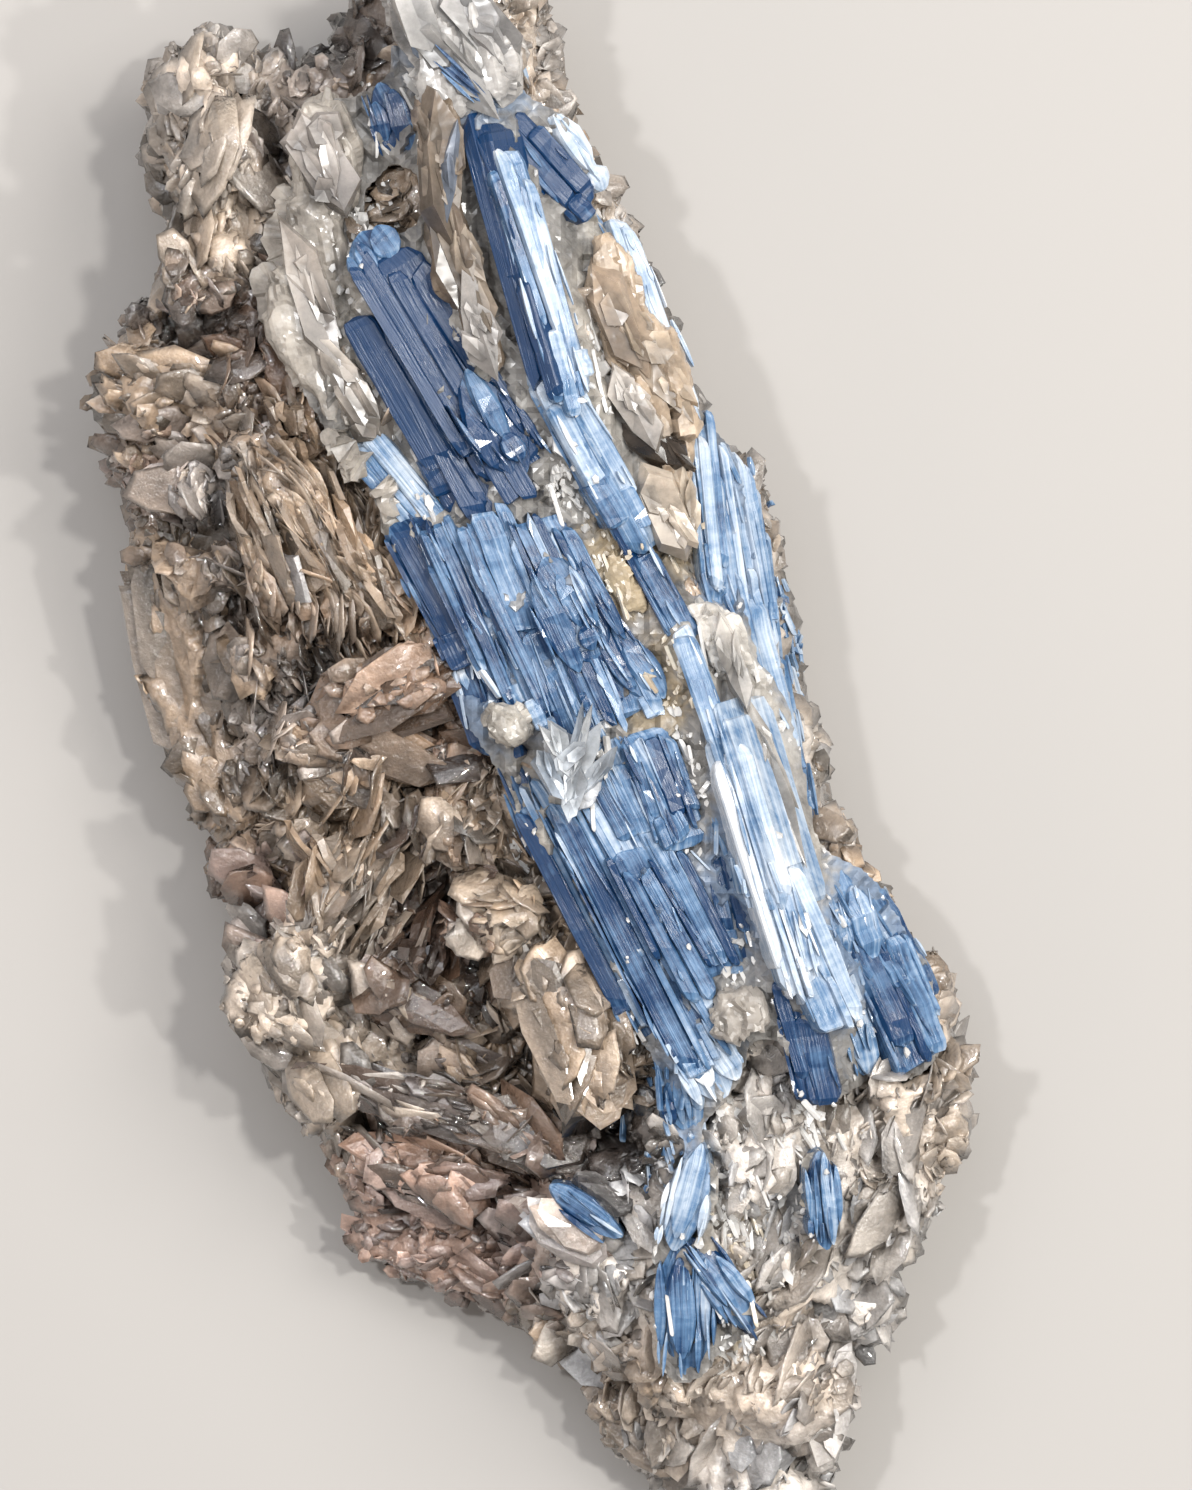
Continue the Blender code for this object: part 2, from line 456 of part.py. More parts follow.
def kyanite_groups(finish):
    """Each group of blades as one solid. Returns the grown blades that cut its neighbours."""
    cutters = []
    for group, (name, rows) in enumerate(KYANITE.items()):
        seed = 100 * (group + 1)
        cluster = add_object(name, blade_mesh(rows[0], seed), finish)
        if len(rows) > 1:
            add_boolean(cluster, "UNION", blade_folder(f"{name}_joined", rows[1:], seed + 1))
        for cutter in cutters:
            add_boolean(cluster, "DIFFERENCE", cutter)
        keep_main_body(cluster)
        cutters.append(blade_folder(f"{name}_seat", rows, seed, GAP))
    return cutters


def quartz_groups(finish, blade_cutters):
    """Each quartz body as one solid, grown round the blades. Returns the slabs that cut the schist."""
    cutters = []
    for group, (name, rows) in enumerate(QUARTZ.items()):
        seed = 1000 + 100 * group
        body = add_object(name, plate_mesh(*rows[0], seed), finish)
        if len(rows) > 1:
            add_boolean(body, "UNION", quartz_folder(f"{name}_joined", rows[1:], seed + 1))
        for cutter in blade_cutters + cutters:
            add_boolean(body, "DIFFERENCE", cutter)
        keep_main_body(body)
        cutters.append(quartz_folder(f"{name}_seat", rows, seed, GAP))
    return cutters


def mica_schist(finish, cutters):
    """The matrix: the slab, its lumps and books, less its hollows and the crystals' seats."""
    growths = helper_folder("mica_growths")
    for index, row in enumerate(LUMPS):
        add_object(f"lump_{index}", lump_mesh(*row, 37.0 * index, 40 + index), helper=True, folder=growths)
    for index, row in enumerate(BOOKS):
        add_object(f"book_{index}", plate_mesh(*row, 80 + index), helper=True, folder=growths)
    hollows = helper_folder("mica_hollows")
    for index, row in enumerate(PITS):
        add_object(f"pit_{index}", lump_mesh(*row, 20 + index), helper=True, folder=hollows)
    schist = add_object("mica_schist", slab_mesh(), finish)
    add_boolean(schist, "UNION", growths)
    add_boolean(schist, "DIFFERENCE", hollows)
    for cutter in cutters:
        add_boolean(schist, "DIFFERENCE", cutter)
    keep_main_body(schist)
    # The cuts leave slivers, which this takes out. The flat back keeps its own corners.
    above = schist.vertex_groups.new(name="above the back")
    above.add([v.index for v in schist.data.vertices if v.co.z > BACK_CLEARANCE * MM], 1.0, "REPLACE")
    tidy = schist.modifiers.new("slivers", "DECIMATE")
    tidy.ratio = SLIVER_RATIO
    tidy.vertex_group = above.name


def main():
    clear_scene()
    specimen = bpy.data.objects.new("specimen", None)
    bpy.context.scene.collection.objects.link(specimen)
    specimen.rotation_euler.z = TURN
    origin = Matrix.Rotation(TURN, 3, "Z") @ Vector((*CENTRE, 0.0)) * MM
    specimen.location = -origin
    blue = material("kyanite", KYANITE_BLUE, 0.25)
    white = material("quartz", QUARTZ_WHITE, 0.3)
    tan = material("mica schist", SCHIST_TAN, 0.45)
    blade_cutters = kyanite_groups(blue)
    quartz_cutters = quartz_groups(white, blade_cutters)
    mica_schist(tan, blade_cutters + quartz_cutters)


main()
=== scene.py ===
"""Looks of the kyanite blade cluster: blue blades and milky quartz in a slab of mica schist."""

import math
import random

import bmesh
import bpy
import numpy as np
from mathutils import Matrix, Vector, noise
from mathutils.bvhtree import BVHTree
from mathutils.kdtree import KDTree


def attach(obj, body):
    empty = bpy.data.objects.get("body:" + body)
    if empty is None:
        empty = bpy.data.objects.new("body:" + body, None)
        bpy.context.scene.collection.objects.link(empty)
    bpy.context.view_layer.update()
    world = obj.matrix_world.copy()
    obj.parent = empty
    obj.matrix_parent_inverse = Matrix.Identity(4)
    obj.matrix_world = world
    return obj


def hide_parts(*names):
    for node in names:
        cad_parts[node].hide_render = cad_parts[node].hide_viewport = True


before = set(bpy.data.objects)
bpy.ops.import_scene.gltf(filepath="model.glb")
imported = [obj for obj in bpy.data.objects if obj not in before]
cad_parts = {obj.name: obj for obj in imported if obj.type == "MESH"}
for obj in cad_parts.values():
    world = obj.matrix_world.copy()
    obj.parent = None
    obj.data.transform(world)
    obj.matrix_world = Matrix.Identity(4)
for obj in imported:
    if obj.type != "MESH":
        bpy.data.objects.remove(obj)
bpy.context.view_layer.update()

# Copy stand and studio. The specimen lies on a pale table, and the camera looks straight down on
# its crystal face. Places on it are sheet millimetres: x to the right and y up the picture, z up
# from the table. The sheet is turned so that the length of the specimen runs along the frame's Y.
MM = 0.001
SHEET_ANGLE = -11.0
SHEET_MIDDLE = (-2.68, -1.82)
FACE_HEIGHT = 28.0
CAMERA_CLEARANCE = 1200.0
PICTURE_MIDDLE = (3.6, 0.0)
PICTURE_HEIGHT = 149.0
SENSOR = 36.0
sheet_turn = Matrix.Rotation(math.radians(SHEET_ANGLE), 3, "Z")


def place(x, y, z):
    """A sheet point in millimetres as a point of the frame in metres."""
    return sheet_turn @ Vector((x - SHEET_MIDDLE[0], y - SHEET_MIDDLE[1], z)) * MM


def linear(code):
    """A colour written in sRGB hex as linear values with an alpha of 1."""
    shares = [int(code[i : i + 2], 16) / 255 for i in (1, 3, 5)]
    return [s / 12.92 if s <= 0.04045 else ((s + 0.055) / 1.055) ** 2.4 for s in shares] + [1.0]


def new_material(name):
    """A plain material, its node tree and its shader."""
    made = bpy.data.materials.new(name)
    made.use_nodes = True
    return made, made.node_tree, made.node_tree.nodes["Principled BSDF"]


def set_inputs(node, inputs):
    """Sets each input of a node to a value, or links it to a socket or a node's first output."""
    for name, value in inputs.items():
        if isinstance(value, bpy.types.Node):
            value = value.outputs[0]
        if isinstance(value, bpy.types.NodeSocket):
            node.id_data.links.new(value, node.inputs[name])
        else:
            node.inputs[name].default_value = value


scene = bpy.context.scene
scene.view_settings.view_transform = "Standard"
lens = bpy.data.cameras.new("copy stand lens")
lens.sensor_width = SENSOR
lens.lens = SENSOR * CAMERA_CLEARANCE / PICTURE_HEIGHT
lens.clip_end = 20.0
camera = bpy.data.objects.new("copy stand camera", lens)
scene.collection.objects.link(camera)
camera.location = place(*PICTURE_MIDDLE, FACE_HEIGHT + CAMERA_CLEARANCE)
camera.rotation_euler.z = math.radians(SHEET_ANGLE)
scene.camera = camera

# Softboxes: name, sheet place in millimetres, width, power in watts, colour.
SOFTBOXES = [
    ("window", 540, 390, 760, 580, 6.5, "#FFFBF6"),
    ("sky", -160, 480, 900, 700, 3.1, "#F3F6FF"),
    ("bounce", -700, -250, 520, 640, 1.2, "#FFEFE4"),
    ("glint", 300, 160, 950, 60, 3.6, "#FFFDF8"),
    ("spark", -260, 120, 900, 40, 2.6, "#FFFFFF"),
    ("edge spark", 520, -120, 700, 40, 2.4, "#FFFDF8"),
]
for name, x, y, z, width, watts, colour in SOFTBOXES:
    box = bpy.data.lights.new(name, "AREA")
    box.size = width * MM
    box.energy = watts
    box.color = linear(colour)[:3]
    hung = bpy.data.objects.new(name, box)
    scene.collection.objects.link(hung)
    hung.location = place(x, y, z)
    hung.rotation_euler = (place(0, 0, 0) - hung.location).to_track_quat("-Z", "Y").to_euler()

world = bpy.data.worlds.new("studio air")
scene.world = world
world.use_nodes = True
set_inputs(world.node_tree.nodes["Background"], {"Color": linear("#F2EFEC"), "Strength": 0.37})

floor_mesh = bpy.data.meshes.new("table")
floor_bm = bmesh.new()
bmesh.ops.create_grid(floor_bm, x_segments=1, y_segments=1, size=3.0)
floor_bm.to_mesh(floor_mesh)
floor_bm.free()
floor = bpy.data.objects.new("table", floor_mesh)
floor.location.z = -0.0001
scene.collection.objects.link(floor)
paper, _, paper_shader = new_material("matt backing paper")
set_inputs(paper_shader, {"Base Color": linear("#ADAAA7"), "Roughness": 0.95, "Specular IOR Level": 0.1})
floor_mesh.materials.append(paper)

# The host rock is mica schist, a felt of muscovite and biotite leaves pressed together. Its skin
# is the solid's own surface, broken into small tilted steps. Each part of it has its own tone, from
# cream and silver where the leaves lie clean; two deep pits get a near-black tone, a painted shade.
MICA_TONES = {
    "tan": "#B29B84", "light": "#D5C2AE", "cream": "#EAD8C6", "silver": "#CEC2B8",
    "grey": "#9A8D83", "gunmetal": "#665B55", "brown": "#8C705B", "umber": "#624B3D",
    # The near-black tone is painted shade for deep pits, not a colour of the mica.
    "pink_and_painted_bounce": "#B79888", "honey": "#C7A87F", "pit_painted_shade": "#332B26", "white": "#F3E9DF",
}
# Tone zones on the sheet: x, y, half width, half height, tone, weight.
# The pink zones on the lower left are partly the rock's pinkish brown and partly painted shade with a warm
# painted bounce light.
TONE_ZONES = [
    (-35.5, 66, 6, 7, "cream", 1.7), (-33, 54, 6, 6, "light", 1.0), (-37, 48, 2.0, 6, "umber", 0.7),
    (-27, 66, 4, 5, "grey", 1.0), (-21, 71, 4, 5, "gunmetal", 0.9), (-40, 33.5, 7, 6, "tan", 1.3),
    (-42, 27, 4, 3.5, "pink_and_painted_bounce", 1.2), (-38.5, 42.5, 7, 3, "gunmetal", 1.2), (-29.5, 39, 4, 7, "umber", 1.0),
    (-37, 26.5, 4.5, 4.5, "silver", 1.3), (-34, 16, 3.2, 6.5, "gunmetal", 1.2),
    (-24, 21, 8, 11, "tan", 1.3), (-25, 14, 5, 5, "brown", 1.0), (-38.5, 8, 4.5, 14, "tan", 1.3),
    (-28, 4.5, 5.5, 5.5, "grey", 1.0), (-24.5, 8, 3.5, 2.5, "pit_painted_shade", 1.0),
    (-16.5, 3, 7, 7, "brown", 1.1), (-22, -8.5, 7, 8, "tan", 1.1), (-13.2, -1, 2.4, 5.5, "umber", 1.3),
    (-9, -7, 7, 4.5, "tan", 1.1), (-12.5, -19, 5, 8, "umber", 1.7), (-6, -17, 4, 5, "light", 1.2),
    (-31, -15, 4, 4, "pink_and_painted_bounce", 0.9), (-26, -27, 8, 9, "cream", 1.5), (-24, -33, 8, 6, "light", 0.9),
    (-14, -37, 8, 3.5, "gunmetal", 1.2), (1.5, -29, 7, 8, "tan", 1.4),
    (5.5, -39.5, 5.2, 5.2, "pit_painted_shade", 2.4), (-12, -49, 13, 8, "pink_and_painted_bounce", 1.2), (-10, -41, 8, 3, "brown", 1.0),
    # The white and cream zones of the lower right are partly pale mica and partly painted light, where the
    # face is brightest.
    (4, -66, 8, 7, "tan", 0.9), (3.5, -53, 6, 8, "white", 1.1), (19, -60, 9, 8, "cream", 1.5),
    (22, -69, 5, 3, "gunmetal", 0.6), (14, -67, 6, 5, "cream", 1.3), (19, -76, 12, 6, "white", 1.8),
    (35, -37, 7, 7, "cream", 1.2), (33, -52, 7, 9, "white", 2.2), (20, -44, 8, 10, "white", 1.3),
    (14, -53, 6, 8, "white", 1.0), (30, -33, 5, 6, "white", 1.0), (9, 41, 6, 12, "cream", 1.1),
    (24.5, 14, 3, 16, "white", 1.2), (12, 43, 4, 13, "white", 1.4), (-3.5, 72, 3, 6, "cream", 1.0),
    (21, 6, 4, 12, "light", 0.9), (9, 6, 5, 5, "tan", 1.0), (9.5, 29, 3.5, 3, "umber", 1.0),
    (-29, 60, 3, 3, "gunmetal", 1.2), (26, -28, 4, 5, "grey", 0.8),
]
tones = {name: np.array(linear(code)[:3]) for name, code in MICA_TONES.items()}
zone_tones = np.array([tones[zone[4]] for zone in TONE_ZONES] + [tones["tan"]])
zone_weights = [zone[5] for zone in TONE_ZONES]


def sheet_of(points):
    """Points of the frame in metres as sheet millimetres."""
    return points / MM @ np.array(sheet_turn) + np.array([*SHEET_MIDDLE, 0.0])


def nearness(x, y, patch):
    """1 in the middle of an oval patch of the sheet, falling to 0 outside it."""
    return np.exp(-(((x - patch[0]) / patch[2]) ** 2) - ((y - patch[1]) / patch[3]) ** 2)


def blended(spots, patches, weights, colours, rest):
    """Colours at sheet points: each patch pulls by its weight, and the last colour fills the rest."""
    pulls = [weight * nearness(*spots.T, patch) for weight, patch in zip(weights, patches)]
    pulls = np.array([*pulls, np.full(len(spots), rest)]) ** 2
    return (pulls / pulls.sum(0)).T @ colours


def mica_tones(spots, draw, scatter=2.2):
    """Linear colours of the mica at sheet points, with ragged borders between the zones."""
    moved = spots[:, :2] + draw.normal(0.0, scatter, (len(spots), 2))
    return blended(moved, TONE_ZONES, zone_weights, zone_tones, 0.12)


def as_arrays(bm):
    """The points and triangles of a bmesh, which is then freed."""
    bm.verts.index_update()
    points = np.array([v.co for v in bm.verts])
    faces = np.array([[v.index for v in f.verts] for f in bm.faces])
    bm.free()
    return points, faces


def smoothed(bm, corners, factor):
    """Moves corners towards the middle of their neighbours."""
    bmesh.ops.smooth_vert(
        bm, verts=corners, factor=factor, use_axis_x=True, use_axis_y=True, use_axis_z=True
    )


def even_net(node, voxel, softened=0):
    """The node's form as an even triangle net: points, normals and faces."""
    bm = bmesh.new()
    bm.from_mesh(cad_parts[node].data)
    bmesh.ops.remove_doubles(bm, verts=bm.verts, dist=1e-6)
    mesh = bpy.data.meshes.new("net")
    bm.to_mesh(mesh)
    bm.free()
    rough = bpy.data.objects.new("net", mesh)
    scene.collection.objects.link(rough)
    net = rough.modifiers.new("net", "REMESH")
    net.voxel_size = voxel * MM
    made = bpy.data.meshes.new_from_object(rough.evaluated_get(bpy.context.evaluated_depsgraph_get()))
    bpy.data.objects.remove(rough)
    bm = bmesh.new()
    bm.from_mesh(made)
    bmesh.ops.triangulate(bm, faces=bm.faces)
    for _ in range(softened):
        smoothed(bm, bm.verts, 0.5)
    bm.normal_update()
    normals = np.array([v.normal for v in bm.verts])
    points, faces = as_arrays(bm)
    return points, normals, faces


def scattered(low, high, spacing, draw):
    """Random middles about a spacing apart between two corners, and a tree that finds the nearest."""
    count = int(np.prod((high - low) / spacing))
    centres = draw.uniform(low, high, (count, 3))
    tree = KDTree(count)
    for index, centre in enumerate(centres):
        tree.insert(centre, index)
    tree.balance()
    return centres, tree


def broken(points, spacing, step, tilt, seed, stretch=(1.0, 1.0, 1.0)):
    """How far each point moves out, in metres, where the surface breaks into tilted facets."""
    draw = np.random.default_rng(seed)
    squeezed = points / MM / np.array(stretch)
    centres, tree = scattered(squeezed.min(0) - spacing, squeezed.max(0) + spacing, spacing, draw)
    cell = np.array([tree.find(p)[1] for p in squeezed])
    lift = draw.uniform(-1.0, 1.0, len(centres))[cell] * step
    lean = (draw.normal(0.0, 1.0, centres.shape)[cell] * (squeezed - centres[cell])).sum(1) * tilt
    return (lift + lean) * MM


# The kyanite and quartz solids as one search tree.
crystal_points, crystal_faces = [], []
for name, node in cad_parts.items():
    if name != "mica_schist":
        crystal_faces += [[v + len(crystal_points) for v in p.vertices] for p in node.data.polygons]
        crystal_points += [v.co.copy() for v in node.data.vertices]
crystals = BVHTree.FromPolygons(crystal_points, crystal_faces)
SKIN_NET = 0.72
CLEAR_OF_CRYSTALS = 2.0 * MM
skin_points, skin_normals, skin_faces = even_net("mica_schist", SKIN_NET)
move = broken(skin_points, 4.6, 0.75, 0.22, 11, (0.8, 1.7, 0.7))
move += broken(skin_points, 2.0, 0.32, 0.20, 12, (0.8, 1.6, 0.6))
move += np.array([noise.noise(Vector(p) * 260.0) for p in skin_points]) * 0.45 * MM
near = [crystals.find_nearest(Vector(p), CLEAR_OF_CRYSTALS)[3] for p in skin_points]
free = np.array([CLEAR_OF_CRYSTALS if d is None else d for d in near]) / CLEAR_OF_CRYSTALS
move = np.where(move > 0.0, move * free, move)
skin_points = skin_points + skin_normals * move[:, None]
skin_points[:, 2] = np.maximum(skin_points[:, 2], 0.0)
skin_tree = BVHTree.FromPolygons([Vector(p) for p in skin_points], skin_faces.tolist())

# Hollows, which are painted in shade, are found from a map of the face's height, set against the same map
# blurred.
MAP_STEP = 0.8
MAP_X = np.arange(-52.0, 50.0, MAP_STEP)
MAP_Y = np.arange(-92.0, 92.0, MAP_STEP)


def height_map(tree):
    """Heights of the face in millimetres over the frame's X and Y, from rays cast straight down."""
    made = np.zeros((len(MAP_X), len(MAP_Y)))
    for i, x in enumerate(MAP_X):
        for j, y in enumerate(MAP_Y):
            hit = tree.ray_cast(Vector((x * MM, y * MM, 0.1)), Vector((0.0, 0.0, -1.0)))[0]
            made[i, j] = hit.z / MM if hit else 0.0
    return made


def blurred(grid, passes):
    """The grid averaged with its neighbours several times."""
    for _ in range(passes):
        grid = (grid + np.roll(grid, 1, 0) + np.roll(grid, -1, 0)) / 3
        grid = (grid + np.roll(grid, 1, 1) + np.roll(grid, -1, 1)) / 3
    return grid


face_heights = height_map(skin_tree)
solid_part = blurred((face_heights > 1.0).astype(float), 12)
painted_shade_depth = blurred(face_heights, 12) / np.maximum(solid_part, 0.05) - face_heights


def map_value(grid, points):
    """A value of a map at each of the frame's points in metres, between its four neighbours."""
    column = np.clip((points[:, 0] / MM - MAP_X[0]) / MAP_STEP, 0, len(MAP_X) - 2.001)
    row = np.clip((points[:, 1] / MM - MAP_Y[0]) / MAP_STEP, 0, len(MAP_Y) - 2.001)
    i, j = column.astype(int), row.astype(int)
    u, v = column - i, row - j
    near_edge = grid[i, j] * (1 - u) + grid[i + 1, j] * u
    far_edge = grid[i, j + 1] * (1 - u) + grid[i + 1, j + 1] * u
    return near_edge * (1 - v) + far_edge * v


def painted_relief_shade(points):
    """Painted shade and light for the ground's colour: over 1 where it stands proud, down to a sixth in a
    deep pit.
    """
    return np.clip(1.08 - 0.25 * map_value(painted_shade_depth, points), 0.16, 1.35)


def add_node(tree, kind, inputs=None, **settings):
    """Adds a shader node with its settings and its inputs."""
    made = tree.nodes.new(f"ShaderNode{kind}")
    for name, value in settings.items():
        setattr(made, name, value)
    set_inputs(made, inputs or {})
    return made


MICA_IOR = 1.59


def mica_material(name, clearness):
    """Muscovite leaves: pearly and glassy at once, with stains of iron and fine creases, the creases' shade
    and light painted into the colour.
    """
    made, tree, shader = new_material(name)
    tone = add_node(tree, "Attribute", attribute_name="tone")
    stone = add_node(tree, "TexCoord").outputs["Object"]
    # Stains are 2 to 3 mm across, and creases about 0.5 mm apart.
    stains = add_node(tree, "TexNoise", {"Vector": stone, "Scale": 420.0, "Detail": 6.0, "Roughness": 0.65})
    creases = add_node(tree, "TexNoise", {"Vector": stone, "Scale": 1900.0, "Detail": 4.0, "Roughness": 0.6})
    # Wrinkles, where leaves are bent over one another, are about 1.5 mm apart.
    wrinkles = add_node(
        tree, "TexNoise", {"Vector": stone, "Scale": 640.0, "Detail": 5.0, "Roughness": 0.6},
        noise_type="RIDGED_MULTIFRACTAL",
    )
    depth = add_node(
        tree, "MapRange",
        {"Value": stains, "From Min": 0.32, "From Max": 0.68, "To Min": 0.62, "To Max": 1.25},
    )
    # The wrinkles paint the colour darker in their creases and lighter on their folds, a painted shade and
    # light; the stains also darken and lighten it.
    painted_crease_shade = add_node(
        tree, "MapRange", {"Value": wrinkles, "From Min": 0.3, "From Max": 1.6, "To Min": 0.80, "To Max": 2.0}
    )
    shade = add_node(tree, "Math", {0: depth, 1: painted_crease_shade}, operation="MULTIPLY")
    stained = add_node(tree, "VectorMath", {0: tone, 1: shade}, operation="MULTIPLY")
    relief = add_node(tree, "Math", {0: wrinkles, 1: 0.8, 2: creases}, operation="MULTIPLY_ADD")
    gloss = add_node(
        tree, "MapRange", {"Value": creases, "From Min": 0.3, "From Max": 0.7, "To Min": 0.06, "To Max": 0.26}
    )
    bump = add_node(tree, "Bump", {"Height": relief, "Strength": 0.75, "Distance": 0.3 * MM})
    set_inputs(shader, {
        "Base Color": stained, "Roughness": gloss, "Normal": bump, "IOR": MICA_IOR,
        "Specular IOR Level": 0.7, "Transmission Weight": clearness, "Coat Weight": 1.0,
        "Coat Roughness": 0.04, "Subsurface Weight": 0.10, "Subsurface Radius": (1.0, 0.85, 0.7),
        "Subsurface Scale": 0.9 * MM,
    })
    return made


mica = mica_material("pressed muscovite mica", 0.0)


def joined_mesh(name, points, faces, material, colours=None, tints=None, maps=None, smooth=False):
    """A piece made from arrays, riding on the specimen."""
    mesh = bpy.data.meshes.new(name)
    mesh.vertices.add(len(points))
    mesh.vertices.foreach_set("co", points.astype(np.float32).ravel())
    mesh.loops.add(faces.size)
    mesh.loops.foreach_set("vertex_index", faces.astype(np.int32).ravel())
    mesh.polygons.add(len(faces))
    mesh.polygons.foreach_set("loop_start", np.arange(0, faces.size, 3, dtype=np.int32))
    mesh.update(calc_edges=True)
    if smooth:
        mesh.shade_smooth()
    else:
        mesh.shade_flat()
    if colours is not None:
        tone = mesh.attributes.new("tone", "FLOAT_COLOR", "POINT")
        with_alpha = np.hstack([colours, np.ones((len(points), 1))])
        tone.data.foreach_set("color", with_alpha.astype(np.float32).ravel())
    if tints is not None:
        tint = mesh.attributes.new("tint", "FLOAT", "POINT")
        tint.data.foreach_set("value", tints.astype(np.float32))
    if maps is not None:
        layer = mesh.uv_layers.new(name="lath")
        layer.data.foreach_set("uv", maps[faces.ravel()].astype(np.float32).ravel())
    mesh.materials.append(material)
    piece = bpy.data.objects.new(name, mesh)
    scene.collection.objects.link(piece)
    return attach(piece, "root")


SKIN_SHADE = 0.80
skin_draw = np.random.default_rng(21)
# The skin's colours carry the painted relief shade and light.
skin_tones = mica_tones(sheet_of(skin_points), skin_draw, 0.4) * painted_relief_shade(skin_points)[:, None] * SKIN_SHADE
skin = joined_mesh("mica_schist_skin", skin_points, skin_faces, mica, colours=skin_tones, smooth=True)
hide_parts("mica_schist")

# Mica books are stacks of leaves, split at their edges like the pages of a wet book. They lie
# where the face shows them, with loose scales on the ground between them.
# Each row repeats a book of the solid: x, y, z of the top's middle, length, width, thickness,
# then degrees of heading, tilt and roll to the right.
BOOKS = [
    (-18.6, 5.6, 26.0, 17.0, 7.0, 5.0, 76, 16, -12), (-17.6, -0.6, 24.0, 12.0, 6.0, 4.6, 112, -6, 22),
    (-22.0, -3.0, 22.5, 15.0, 5.0, 4.6, 128, -8, 14), (-1.4, -28.6, 27.2, 15.0, 5.4, 6.0, -12, 4, -26),
    (2.6, -30.2, 27.0, 14.0, 7.0, 6.0, -16, 6, 16),
    (1.0, -48.8, 21.6, 9.0, 3.8, 4.0, 122, 0, -12), (4.6, -45.6, 21.4, 8.0, 3.6, 4.0, 118, 0, 10),
    (-3.0, -21.6, 25.0, 8.0, 7.0, 6.0, 24, -6, -16), (-38.2, 7.4, 12.4, 27.0, 7.4, 3.4, -16, 4, -14),
    (-19.8, -13.0, 20.4, 18.0, 4.0, 5.0, 32, 4, 18), (-24.8, -14.6, 19.0, 15.0, 3.4, 5.0, 22, 4, -10),
    (-14.0, -36.6, 17.4, 25.0, 5.0, 5.4, 106, 4, 16), (-2.4, -39.0, 18.0, 13.0, 6.0, 5.0, 112, -4, -10),
    (-11.6, -53.4, 7.6, 22.0, 4.6, 4.4, 112, 2, 20), (2.6, -62.2, 8.4, 12.0, 4.0, 4.4, 128, 2, 24),
    (-13.6, -24.0, 18.6, 12.0, 6.0, 4.0, 118, 8, -20), (7.4, -70.0, 8.0, 13.0, 4.4, 4.6, 138, 2, 18),
    (27.6, -66.6, 15.0, 11.0, 4.0, 5.0, 8, -6, 24), (-14.2, -42.4, 13.0, 15.0, 5.0, 4.6, 102, 2, -14),
]
# Leaf rims are painted lighter, partly frost and partly painted edge light; middles are painted dimmer, and
# undersides are painted shade.
RIM_FROST_AND_PAINTED_LIGHT = 1.28
CLEAR_AND_PAINTED_DIM_MIDDLE = 0.84
PAINTED_UNDERSIDE_SHADE = 0.66
LEAF_SPACING = 0.55
LEAF_THICKNESS = 0.42
TOP_LEAF_LIFT = 0.35


def leaf_shape(seed, corners, ragged, bow):
    """A thin leaf of unit length and width as arrays: its rim ragged, frosted and painted lighter, its middle
    painted dimmer, its underside painted in shade, its face bowed.
    """
    draw = random.Random(seed)
    bm = bmesh.new()
    bmesh.ops.create_cone(bm, cap_ends=True, segments=corners, radius1=0.5, radius2=0.47, depth=1.0)
    bmesh.ops.translate(bm, verts=bm.verts, vec=(0.0, 0.0, -0.5))
    for low, high in zip(bm.verts[:corners], bm.verts[corners:]):
        push, crease = draw.uniform(1.0 - ragged, 1.0 + ragged), draw.uniform(-0.3, 0.3) * bow
        for corner in (low, high):
            corner.co.x *= push
            corner.co.y *= push
            corner.co.z += crease
    bm.normal_update()
    bmesh.ops.poke(bm, faces=[f for f in bm.faces if f.normal.z > 0.5])
    bmesh.ops.triangulate(bm, faces=bm.faces, quad_method="BEAUTY", ngon_method="BEAUTY")
    bow_x, bow_y, twist = draw.uniform(-bow, bow), draw.uniform(-bow, bow), draw.uniform(-bow, bow)
    for corner in bm.verts:
        x, y = corner.co.x, corner.co.y
        corner.co.z += 4.0 * (bow_x * x * x + bow_y * y * y + twist * x * y)
    bmesh.ops.recalc_face_normals(bm, faces=bm.faces)
    points, faces = as_arrays(bm)
    frost_and_painted_light = np.full(len(points), RIM_FROST_AND_PAINTED_LIGHT)
    frost_and_painted_light[:corners] = PAINTED_UNDERSIDE_SHADE
    frost_and_painted_light[2 * corners :] = CLEAR_AND_PAINTED_DIM_MIDDLE
    return points, faces, frost_and_painted_light


class Heap:
    """Gathers many small shapes, each moved into place, and makes one piece of them."""

    def __init__(self):
        self.points, self.faces, self.maps, self.tints, self.colours, self.count = [], [], [], [], [], 0

    def add(self, shape, size, matrix, tint=0.0, colour=np.ones(3)):
        """Adds a shape of unit size, scaled to size in millimetres, then placed by the matrix."""
        points, faces, frost_and_painted_light = shape
        scaled = points * np.array(size)
        turn = np.array(matrix)
        self.points.append(scaled @ turn[:3, :3].T * MM + turn[:3, 3])
        self.faces.append(faces + self.count)
        own_patch = np.array([7.3, 3.1]) * (len(self.points) % 97)
        self.maps.append(scaled[:, :2] + scaled[:, 2:] * 0.7 + own_patch)
        self.tints.append(tint + frost_and_painted_light - 1.0)
        self.colours.append(frost_and_painted_light[:, None] * colour)
        self.count += len(points)

    def build(self, name, material, smooth=False):
        """The finished piece."""
        return joined_mesh(
            name, np.concatenate(self.points), np.concatenate(self.faces), material,
            np.concatenate(self.colours), np.concatenate(self.tints), np.concatenate(self.maps), smooth,
        )


